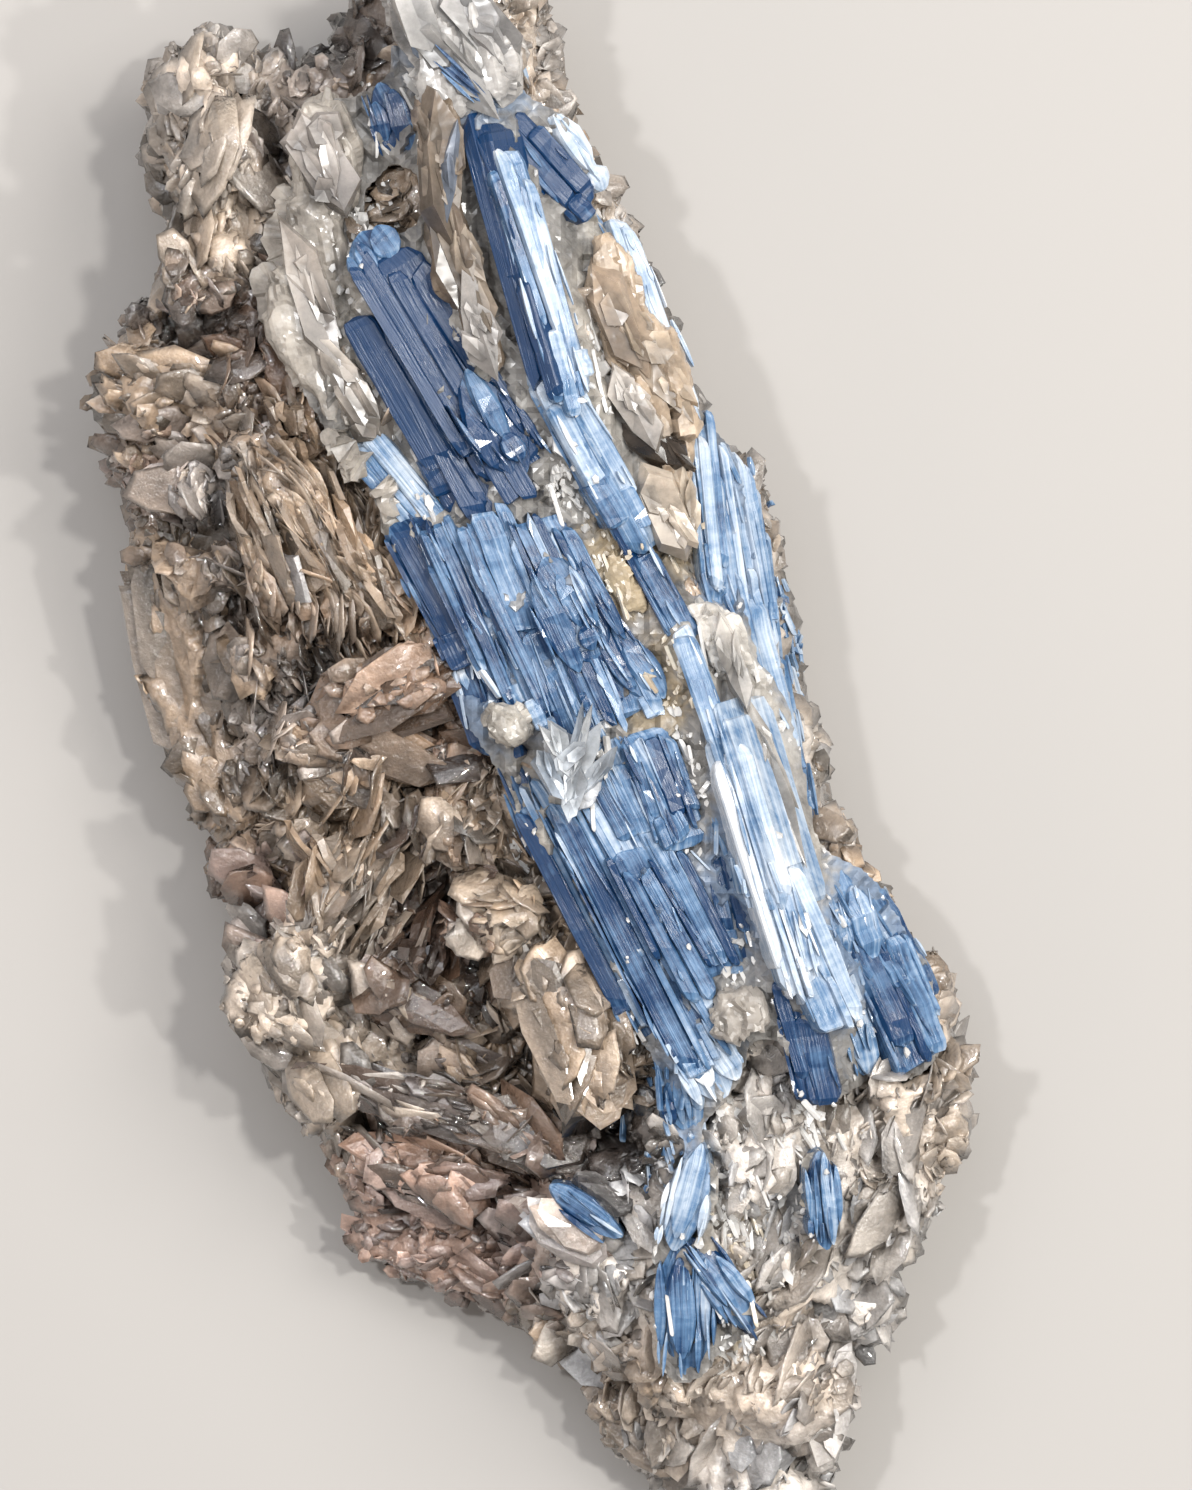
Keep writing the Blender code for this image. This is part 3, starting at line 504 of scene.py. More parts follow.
def turned(about_z, about_x=0.0, about_y=0.0):
    """A turn in degrees about Z, then about the turned X, then about the turned Y."""
    angles = ((about_z, "Z"), (about_x, "X"), (about_y, "Y"))
    z, x, y = (Matrix.Rotation(math.radians(angle), 4, axis) for angle, axis in angles)
    return z @ x @ y


def shifted(x, y, z):
    """A move in millimetres."""
    return Matrix.Translation(Vector((x, y, z)) * MM)


def pose(x, y, z, heading, tilt=0.0, roll=0.0):
    """Places a shape made at the origin: its +Y along the heading, which is from sheet +Y to +X."""
    return Matrix.Translation(place(x, y, z)) @ turned(SHEET_ANGLE - heading, tilt, roll)


def tone_of(x, y, draw, spread=0.22):
    """The mica's own tone at one sheet point, by chance lighter or darker, warmer or colder."""
    chill = draw.uniform(-0.04, 0.12)
    own = np.array([1.0 - chill, 1.0, 1.0 + 1.4 * chill]) * draw.lognormvariate(0.0, spread)
    return mica_tones(np.array([[x, y]]), shade_draw)[0] * own


shade_draw = np.random.default_rng(22)
PAGES = [leaf_shape(seed, 9, 0.24, 0.9) for seed in range(40, 58)]
book_draw = random.Random(31)
book_heap = Heap()
clear_mica = mica_material("clear muscovite leaves", 0.30)
for x, y, z, length, width, thick, heading, tilt, roll in BOOKS:
    leaves = int(thick / LEAF_SPACING)
    base = pose(x, y, z, heading, tilt, roll)
    for leaf in range(leaves):
        up = TOP_LEAF_LIFT - thick * leaf / leaves
        size = (width * book_draw.uniform(0.72, 1.08), length * book_draw.uniform(0.7, 1.06), LEAF_THICKNESS)
        shift = shifted(book_draw.gauss(0, 0.09) * width, book_draw.gauss(0, 0.05) * length, up)
        turn = turned(book_draw.gauss(0, 5.16), book_draw.gauss(0, 2.58), book_draw.gauss(0, 3.44))
        # The top leaf is painted lighter and the leaves under it are painted in shade.
        book_heap.add(
            book_draw.choice(PAGES), size, base @ shift @ turn,
            colour=tone_of(x, y, book_draw) * (1.1 if leaf == 0 else 0.85),
        )

# Pages on edge, left of the blades: long bent leaves that stand up and run beside the crystals.
# x, y, z of the middle of the bundle's top, length, width across the pages, heading.
PAGE_BUNDLES = [
    (-31.0, 19.5, 23.2, 15.0, 3.0, 161), (-28.0, 20.5, 25.0, 18.0, 3.4, 159),
    (-25.2, 20.5, 26.0, 19.0, 3.4, 156), (-22.4, 20.0, 27.0, 19.0, 3.4, 155),
    (-19.6, 15.6, 27.0, 13.0, 2.6, 152), (-27.6, 31.5, 26.0, 8.0, 3.6, 158),
    (-30.6, 28.0, 24.0, 9.0, 3.0, 166), (-16.6, -11.0, 22.0, 17.0, 3.6, 214),
    (-20.6, -15.0, 20.4, 15.0, 3.6, 206), (-12.0, -19.5, 21.0, 9.0, 5.0, 200),
    (-24.6, -11.0, 20.0, 10.0, 4.0, 150), (-9.6, -12.0, 24.0, 6.0, 4.0, 170),
    (-27.0, -20.0, 18.6, 7.0, 3.4, 140),
]
for x, y, z, length, across, heading in PAGE_BUNDLES:
    side = -across / 2
    while side < across / 2:
        for _ in range(3):
            reach = book_draw.uniform(0.25, 0.6) * length
            along = book_draw.uniform(-0.5, 0.5) * (length - reach)
            lifted = z + book_draw.uniform(-1.4, 0.3)
            spot = pose(x, y, lifted, heading + book_draw.gauss(0, 3), book_draw.gauss(0, 3.5))
            spot = spot @ shifted(side, along, 0.0) @ turned(0.0, 0.0, book_draw.gauss(70, 16))
            size = (book_draw.uniform(2.4, 4.6), reach, book_draw.uniform(0.4, 0.8))
            book_heap.add(book_draw.choice(PAGES), size, spot, colour=tone_of(x, y, book_draw, 0.3))
        side += book_draw.uniform(0.75, 1.25)
books = book_heap.build("mica_books", clear_mica)

# Loose leaves of mica, 1 to 5 mm across, cover the schist like scales. They lie roughly along the
# ground, on edge where the rock is folded, and catch the light singly as they are turned.
# Grain of the schist: x, y, half width, half height, heading of the leaves, lean from flat, weight.
GRAIN = [
    (-24, 21, 8, 12, 158, 70, 1.6), (-16.5, 3, 7, 6, 80, 20, 1.0), (-18, -13, 6, 9, 208, 65, 1.5),
    (-38, 8, 4, 13, 164, 14, 1.5), (-26, -27, 9, 10, 140, 25, 1.0), (-14, -38, 12, 5, 108, 55, 1.3),
    (-12, -50, 13, 8, 112, 40, 1.2), (19, -62, 10, 14, 20, 50, 0.8), (33, -45, 7, 15, 10, 55, 0.8),
    (-34, 56, 7, 14, 170, 40, 0.7), (-40, 34, 7, 6, 100, 35, 1.0), (1.5, -29, 7, 8, 168, 30, 0.8),
]
SCALES = [leaf_shape(seed, 7, 0.24, 1.7) for seed in range(60, 92)]
SCALE_COUNT = 17000
# Places where a large leaf lies bare: x, y, half width, half height, share of the scales left off.
BARE = [
    (-38.5, 7.5, 4.0, 13.0, 0.9), (1.5, -29, 6.5, 7.5, 0.6), (-15.5, 1.5, 5.0, 5.0, 0.7),
    (-27, -26, 6, 8, 0.4), (3.5, -52, 5, 7, 0.4), (-40, 33, 5, 4, 0.4), (-12, -50, 10, 5, 0.3),
    (24.5, 16, 3, 16, 0.9), (12, 43, 4, 14, 0.95), (20, -44, 6, 9, 0.45), (-36, 66, 5, 6, 0.55),
    (-34, 54, 5, 6, 0.4), (-23, -33, 7, 5, 0.45), (35, -37, 6, 8, 0.45), (20, -72, 9, 9, 0.65),
    (-16, 76, 8, 5, 0.4), (30, -55, 6, 8, 0.6),
]
BACK_SHARE = 0.35
BARE_FOOT = 1.4
SCALE_THICKNESS = 0.13
STEEP = 0.5
UNDER_CRYSTAL = 12.0 * MM
BESIDE_CRYSTAL = 0.4 * MM
BRIGHTEST = 0.8


def ground_samples(count, seed):
    """Points on the skin, their normals, spread by area but thin on the back."""
    draw = np.random.default_rng(seed)
    a, b, c = (skin_points[skin_faces[:, k]] for k in range(3))
    normal = np.cross(b - a, c - a)
    area = np.linalg.norm(normal, axis=1)
    normal = normal / np.maximum(area, 1e-12)[:, None]
    middle = (a + b + c) / 3
    weight = area * np.where(normal[:, 2] < 0.0, BACK_SHARE, 1.0) * (middle[:, 2] > BARE_FOOT * MM)
    chosen = draw.choice(len(skin_faces), count, p=weight / weight.sum())
    return middle[chosen], normal[chosen]


# Leaves of one book lie alike: each book has its own lean, turn and tone.
BOOK_SPACING = 4.0
own_draw = np.random.default_rng(43)
own_centres, own_tree = scattered(skin_points.min(0) / MM, skin_points.max(0) / MM, BOOK_SPACING, own_draw)
own_count = len(own_centres)
own_lean = own_draw.normal(0.0, 0.42, (own_count, 3))
own_turn = own_draw.uniform(0.0, math.tau, own_count)
own_tone = own_draw.lognormal(0.0, 0.34, own_count)
own_chill = own_draw.uniform(-0.03, 0.09, own_count)
own_size = own_draw.uniform(0.7, 1.6, own_count)
scale_draw = random.Random(41)
scale_heaps = {"upper": Heap(), "middle": Heap(), "lower": Heap()}
spots, normals = ground_samples(SCALE_COUNT, 42)
sheet_spots = sheet_of(spots)
spot_tones = mica_tones(sheet_spots, shade_draw)
# Leaves lie flatter towards the rim, where the rock has been rubbed smooth.
calm = np.clip((map_value(blurred((face_heights > 1.0).astype(float), 7), spots) - 0.55) / 0.4, 0.15, 1.0)
# The scales' colours carry the painted relief shade and light, weaker towards the rim.
spot_tones *= (1.0 + calm * (painted_relief_shade(spots) - 1.0))[:, None]
straight_up = Vector((0.0, 0.0, 1.0))
for spot, normal, sheet_spot, tone, free_share in zip(spots, normals, sheet_spots, spot_tones, calm):
    start = Vector(spot)
    hidden = crystals.ray_cast(start, straight_up, UNDER_CRYSTAL)[0]
    if hidden or crystals.find_nearest(start, BESIDE_CRYSTAL)[0]:
        continue
    x, y = sheet_spot[:2]
    pull, heading, lean = max((zone[6] * nearness(x, y, zone), zone[4], zone[5]) for zone in GRAIN)
    if scale_draw.random() < 1.4 * max(patch[4] * nearness(x, y, patch) for patch in BARE):
        continue
    own = own_tree.find(start / MM)[1]
    on_side = normal[2] < STEEP
    widest = 1.25 if on_side else 1.6 + 3.4 * free_share
    across = min(widest, max(0.55, scale_draw.lognormvariate(0.46, 0.5) * own_size[own]))
    reach = across * scale_draw.uniform(1.0, 1.3 if on_side else 1.8)
    if not on_side and scale_draw.random() < pull * 1.3 * free_share:
        heading += own_lean[own][0] * 45 + scale_draw.gauss(0, 8)
        tilt = own_lean[own][1] * 30 + scale_draw.gauss(0, 8)
        lean = lean * (1 if own_lean[own][2] < 0.3 else -1) + own_lean[own][2] * 30 + scale_draw.gauss(0, 9)
        turn = turned(SHEET_ANGLE - heading, tilt, lean)
        reach *= 1.35
    else:
        loose = 0.07 if on_side else 0.18
        lean = Vector([scale_draw.gauss(0, loose) for _ in range(3)])
        lean += Vector(own_lean[own]) * (0.3 if on_side else free_share)
        turn = (Vector(normal) + lean).to_track_quat("Z", "Y").to_matrix().to_4x4()
        turn = turn @ Matrix.Rotation(own_turn[own] + scale_draw.gauss(0, 0.5), 4, "Z")
    tone = tone * own_tone[own] * scale_draw.lognormvariate(0.0, 0.3)
    # About one leaf in twelve is painted 1.7 times lighter, a painted glint.
    tone = tone * (1.7 if scale_draw.random() < 0.08 else 1.0)
    tone = tone * np.array([1.0 - own_chill[own], 1.0, 1.0 + 1.4 * own_chill[own]])
    lift = scale_draw.uniform(-0.2, 0.2 if on_side else 0.5) * MM
    part = "upper" if y > 22 else "middle" if y > -30 else "lower"
    scale_heaps[part].add(
        scale_draw.choice(SCALES), (across, reach, SCALE_THICKNESS),
        Matrix.Translation(start + Vector(normal) * lift) @ turn,
        colour=tone / max(1.0, tone.max() / BRIGHTEST),
    )
for part, heap in scale_heaps.items():
    heap.build(f"mica_scales_{part}", clear_mica, smooth=True)

# Milky quartz fills the gaps between the blades. It is a glassy, clouded stone that breaks into
# flat chips, white to grey where clean, and honey coloured where iron has stained it.
QUARTZ_IOR = 1.544
QUARTZ_WHITE = ("#C6C3BF", "#F0EDE9")
QUARTZ_HONEY = ("#BFAE97", "#EADFCC")
# Each body of quartz: facet spacing and step in millimetres, how far facets are drawn out, colour.
WHITE_BODIES = [
    ("quartz_top_slab", 5.0, 0.45, 2.6, "#C9C5C1"), ("quartz_left_vein", 6.0, 0.35, 1.8, "#BDB5AB"),
    ("quartz_centre_patch", 2.0, 0.45, 1.2, "#E6E0D8"), ("quartz_ridge_foot", 2.2, 0.5, 1.8, "#D8D4CE"),
    ("quartz_centre_splash", 1.8, 0.45, 2.6, "#DCDEE2"), ("quartz_knob", 3.0, 0.4, 1.0, "#CFC8BE"),
]
HONEY_BODIES = [
    ("quartz_splinter", 3.4, 0.45, 4.0, "#8C7B69"), ("quartz_right_pocket", 4.2, 0.7, 2.2, "#C9B49D"),
    ("quartz_middle_pocket", 2.4, 0.4, 2.0, "#C9B79A"), ("quartz_lower_knot", 2.2, 0.7, 1.2, "#A8A199"),
]


def quartz_material(name, shades, by_tone=False, clearness=0.12):
    """Clouds inside the stone run from clear grey to milky, and light passes a little way in."""
    made, tree, shader = new_material(name)
    stone = add_node(tree, "TexCoord").outputs["Object"]
    clouds = add_node(tree, "TexNoise", {"Vector": stone, "Scale": 230.0, "Detail": 7.0, "Roughness": 0.68})
    colour = add_node(tree, "ValToRGB", {"Fac": clouds})
    for stop, position, shade in zip(colour.color_ramp.elements, (0.36, 0.62), shades):
        stop.position = position
        stop.color = linear(shade)
    if by_tone:
        tone = add_node(tree, "Attribute", attribute_name="tone")
        colour = add_node(tree, "VectorMath", {0: tone, 1: colour}, operation="MULTIPLY")
    # Curved cracks in the surface are about 1.5 mm apart.
    cracks = add_node(
        tree, "TexNoise", {"Vector": stone, "Scale": 700.0, "Detail": 3.0, "Roughness": 0.5},
        noise_type="RIDGED_MULTIFRACTAL",
    )
    bump = add_node(tree, "Bump", {"Height": cracks, "Strength": 0.4, "Distance": 0.2 * MM})
    set_inputs(shader, {
        "Base Color": colour, "Normal": bump, "Roughness": 0.24, "IOR": QUARTZ_IOR,
        "Transmission Weight": clearness, "Subsurface Weight": 0.3,
        "Subsurface Radius": (1.0, 0.9, 0.8), "Subsurface Scale": 1.2 * MM,
    })
    return made


milky_quartz = quartz_material("milky quartz", QUARTZ_WHITE)
stained_quartz = quartz_material("iron stained quartz", QUARTZ_HONEY)
clouded_quartz = quartz_material("clouded vein quartz", ("#ADADAD", "#FFFFFF"), by_tone=True)
glassy_quartz = quartz_material("glassy quartz", ("#B8B8B8", "#FFFFFF"), by_tone=True, clearness=0.35)
for slot, bodies in (("quartz", WHITE_BODIES), ("honey_quartz", HONEY_BODIES)):
    for number, (node, spacing, step, drawn, shade) in enumerate(bodies):
        points, normals, faces = even_net(node, 0.42, softened=3)
        move = broken(points, spacing, step, 0.16, 60 + number, (0.8, drawn, 0.7))
        move += broken(points, 1.4, 0.07, 0.10, 80 + number, (0.8, drawn, 0.8))
        points = points + normals * move[:, None]
        tone = np.tile(linear(shade)[:3], (len(points), 1))
        piece = joined_mesh(f"{node}_stone", points, faces, clouded_quartz, colours=tone)
        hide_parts(node)

# Kyanite, an aluminium silicate that grows as sheaves of flat blades and splits along them into
# laths. It is deep blue in the middle of a blade and pale to white where it is cleaved or thin.
# Each blade is a bundle of laths broken off at different lengths, with slivers lying on it.
KYANITE_DEEP = "#0F345B"
KYANITE_BLUE = "#54769A"
KYANITE_PALE = "#ABB9C9"
KYANITE_FROST = "#E6E8EB"
KYANITE_IOR = 1.72


def kyanite_material():
    """Glassy and silky: fine striae run along each lath, and pale cleavage films lie between."""
    made, tree, shader = new_material("kyanite")
    along = add_node(tree, "UVMap", uv_map="lath")
    tint = add_node(tree, "Attribute", attribute_name="tint").outputs["Fac"]
    # Striae are about 0.15 mm apart in the stone and drawn at about 0.35 mm. Cross partings, where a
    # blade has cracked across, come every few millimetres.
    drawn_out = []
    for scale, detail in (((2.6, 0.05, 1.0), 4.0), ((6.5, 0.10, 1.0), 3.0), ((0.16, 1.5, 1.0), 5.0)):
        stretched = add_node(tree, "Mapping", {"Vector": along, "Scale": scale})
        drawn_out.append(add_node(tree, "TexNoise", {"Vector": stretched, "Scale": 1.0, "Detail": detail}))
    striae, fine_striae, partings = drawn_out
    stone = add_node(tree, "TexCoord").outputs["Object"]
    clouds = add_node(tree, "TexNoise", {"Vector": stone, "Scale": 170.0, "Detail": 6.0, "Roughness": 0.62})
    streaked = add_node(tree, "Math", {0: striae, 1: 1.15}, operation="MULTIPLY")
    clouded = add_node(tree, "Math", {0: clouds, 1: 1.7, 2: streaked}, operation="MULTIPLY_ADD")
    parted = add_node(tree, "Math", {0: partings, 1: 0.35, 2: clouded}, operation="MULTIPLY_ADD")
    paled = add_node(tree, "Math", {0: parted, 1: tint}, operation="ADD")
    spread = add_node(tree, "MapRange", {"Value": paled, "From Min": 1.62, "From Max": 3.04})
    ramp = add_node(tree, "ValToRGB", {"Fac": spread})
    for position in (0.30, 0.62):
        ramp.color_ramp.elements.new(position)
    colours = (KYANITE_DEEP, KYANITE_BLUE, KYANITE_PALE, KYANITE_FROST)
    for stop, colour in zip(ramp.color_ramp.elements, colours):
        stop.color = linear(colour)
    # Wisps of white film follow cleavage planes inside the blade.
    planes = add_node(tree, "Mapping", {"Vector": along, "Scale": (0.50, 0.10, 1.0)})
    wisps = add_node(
        tree, "TexNoise",
        {"Vector": planes, "Scale": 1.0, "Detail": 6.0, "Roughness": 0.6, "Distortion": 0.8},
        noise_type="RIDGED_MULTIFRACTAL",
    )
    wispy = add_node(tree, "Math", {0: tint, 1: 0.42, 2: wisps}, operation="MULTIPLY_ADD")
    film = add_node(tree, "MapRange", {"Value": wispy, "From Min": 0.76, "From Max": 1.65, "To Max": 0.75})
    filmed = add_node(tree, "Mix", {0: film, 6: ramp, 7: linear(KYANITE_FROST)}, data_type="RGBA")
    relief = add_node(tree, "Math", {0: fine_striae, 1: 0.6, 2: striae}, operation="MULTIPLY_ADD")
    bump = add_node(tree, "Bump", {"Height": relief, "Strength": 0.55, "Distance": 0.3 * MM})
    gloss = add_node(
        tree, "MapRange", {"Value": clouds, "From Min": 0.3, "From Max": 0.7, "To Min": 0.14, "To Max": 0.40}
    )
    set_inputs(shader, {
        "Base Color": filmed.outputs[2], "Roughness": gloss, "Normal": bump, "IOR": KYANITE_IOR,
        "Specular IOR Level": 0.31, "Coat Weight": 0.12, "Coat Roughness": 0.08,
    })
    return made


FROSTED_END = 1.16
LATH_RINGS = (0.0, 0.02, 0.07, 0.22, 0.4, 0.58, 0.76, 0.92, 0.975, 1.0)


def lath_shape(seed, pointed=False):
    """One lath of unit size as arrays: a flat six-sided bar with broken ends, or one drawn to points."""
    draw = random.Random(seed)
    bm = bmesh.new()
    made = bmesh.ops.create_circle(bm, cap_ends=True, radius=0.5, segments=6)
    ledge = draw.uniform(0.72, 0.94)
    right, left = draw.uniform(-0.10, -0.02), draw.uniform(-0.10, -0.02)
    section = [(0.5, -1.0), (-0.5, -1.0), (-0.5, left), (-0.5 * ledge, 0.0), (0.5 * ledge, 0.0), (0.5, right)]
    for corner, (across, up) in zip(made["verts"], section):
        corner.co = (across, 0.0, up)
    end = bm.faces[:]
    slant = draw.uniform(-1.2, 1.2)
    start_share, end_share = draw.uniform(0.15, 0.8), draw.uniform(0.08, 0.8)
    shares = [start_share, 0.8, 1.0, 1.0, 1.0, 1.0, 1.0, 1.0, 0.8, end_share]
    if pointed:
        shares = [max(0.1, (4.0 * t * (1.0 - t)) ** 0.62) for t in LATH_RINGS]
    rings = [list(made["verts"])]
    for before, station in zip(LATH_RINGS, LATH_RINGS[1:]):
        grown = bmesh.ops.extrude_face_region(bm, geom=end)
        if before > 0.0:
            bmesh.ops.delete(bm, geom=end, context="FACES_ONLY")
        end = [f for f in grown["geom"] if isinstance(f, bmesh.types.BMFace)]
        ring = [v for v in grown["geom"] if isinstance(v, bmesh.types.BMVert)]
        bmesh.ops.translate(bm, verts=ring, vec=(0.0, station - before, 0.0))
        rings.append(ring)
    for ring, share in zip(rings, shares):
        lift = draw.uniform(-0.02, 0.02)
        lean = draw.uniform(-0.03, 0.03)
        for corner in ring:
            corner.co.x = corner.co.x * share * draw.uniform(0.94, 1.04) + lean * 0.4
            corner.co.y += slant * corner.co.x * 0.06
            if corner.co.z > -0.9:
                corner.co.z += lift + lean * corner.co.x - 0.14 * (1.0 - share)
    bmesh.ops.recalc_face_normals(bm, faces=bm.faces)
    bmesh.ops.triangulate(bm, faces=bm.faces)
    points, faces = as_arrays(bm)
    ends = np.abs(points[:, 1] - 0.5) > 0.46
    return points, faces, np.where(ends, FROSTED_END, 1.0)


LATH_SHAPES = [lath_shape(seed) for seed in range(20)]
POINTED_LATHS = [lath_shape(seed, pointed=True) for seed in range(20, 32)]

# Where the blades are frosted or bruised: x, y, half width, half height, added paleness.
FROST = [
    (-18, 49, 4, 4, 0.35), (1, 26.5, 5, 6, 0.40), (3.5, 16, 5, 6, 0.18), (-2, 2, 5, 5, 0.22),
    (10, -2, 5, 5, 0.22), (2, -7, 3, 6, 0.15), (16, -30, 6, 5, 0.35), (32, -16, 5, 6, 0.35),
    (18, 20, 5, 13, 0.28), (-16, 26, 4, 4, 0.25), (-5, 60, 3, 4, 0.08), (4, 30, 3, 6, 0.15),
    (14, -48, 5, 6, 0.25), (13, -60, 5, 5, 0.12), (4, -14, 4, 6, -0.05), (9, -24, 5, 6, -0.10),
    (21, -8, 5, 9, 0.2),
]


def frost_at(x, y):
    """Paleness that a place on the face adds to the kyanite there."""
    return sum(patch[4] * nearness(x, y, patch) for patch in FROST)


def line_between(x0, y0, z0, x1, y1, z1):
    """Length of the line from one sheet point to another, with its heading and tilt in degrees."""
    run = Vector((x1 - x0, y1 - y0, z1 - z0))
    heading, tilt = math.atan2(run.x, run.y), math.atan2(run.z, run.to_2d().length)
    return run.length, math.degrees(heading), math.degrees(tilt)


SHORT_BLADE = 13.0
BLUNT_TAPER = 0.07


def add_blade(heap, row, draw, taper):
    """A blade as a bundle: one wide body, laths side by side on it, and loose slivers."""
    x0, y0, z0, x1, y1, z1, width, thick, roll, tint = row
    length, heading, tilt = line_between(*row[:6])
    base = pose(x0, y0, z0, heading, tilt, -roll)

    def lay(shape, size, across, along, up, yaw=0.0, pitch=0.0, paleness=0.0):
        """Lays one lath on the blade, from its own start point."""
        spot = base @ shifted(across, along, up) @ turned(yaw, pitch)
        share = (along + size[1] / 2) / length
        frost = frost_at(x0 + (x1 - x0) * share, y0 + (y1 - y0) * share)
        heap.add(shape, size, spot, tint + paleness + frost)

    plain = tint < -0.08
    widths = (1.6, 2.2, 2.8, 3.4) if plain else (0.5, 0.8, 1.2, 1.7, 2.5)
    short = length < SHORT_BLADE
    taper = max(taper, 0.2 if short else 0.0)
    shapes = POINTED_LATHS if taper > 0.1 else LATH_SHAPES
    core = (width * (0.9 if short else 0.94), length * (0.95 if short else 0.86), thick)
    lay(draw.choice(shapes), core, 0.0, (length - core[1]) / 2, -0.6)
    side = -width / 2
    while side < width / 2 - 0.15:
        lath = min(draw.choice(widths) * draw.uniform(0.8, 1.2), width / 2 - side)
        paleness = draw.gauss(0.0, 0.16)
        ragged = min(0.26, 4.5 / length)
        outward = abs(side + lath / 2) / (width / 2)
        start = length * (draw.uniform(-0.2, 1.0) * ragged + taper * outward**1.5)
        stop = length * (1.0 - draw.uniform(-0.25, 1.0) * ragged - taper * outward**1.5)
        while start < stop - 2.0:
            reach = min(draw.uniform(0.45, 1.3) * length, stop - start)
            size = (lath * 1.08, reach, thick * 0.8)
            lift = draw.uniform(-0.34, 0.24)
            lay(
                draw.choice(shapes), size, side + lath / 2, start, lift,
                draw.gauss(0.0, 1.3), draw.gauss(0.0, 0.6), paleness + draw.gauss(0.0, 0.12),
            )
            start += reach * draw.uniform(0.86, 1.0)
        side += lath
    for _ in range(int((0.8 * width + 0.25 * length) * (0.3 if plain else 1.0))):
        reach = draw.uniform(1.2, min(6.5, 0.5 * length))
        size = (draw.uniform(0.14, 0.5), reach, draw.uniform(0.3, 0.8))
        lay(
            draw.choice(POINTED_LATHS), size, draw.uniform(-0.5, 0.5) * width,
            draw.uniform(0.06, 0.94) * (length - reach), draw.uniform(0.0, 0.3),
            draw.gauss(0.0, 3.0), draw.gauss(0.0, 1.6), draw.gauss(0.12, 0.2),
        )


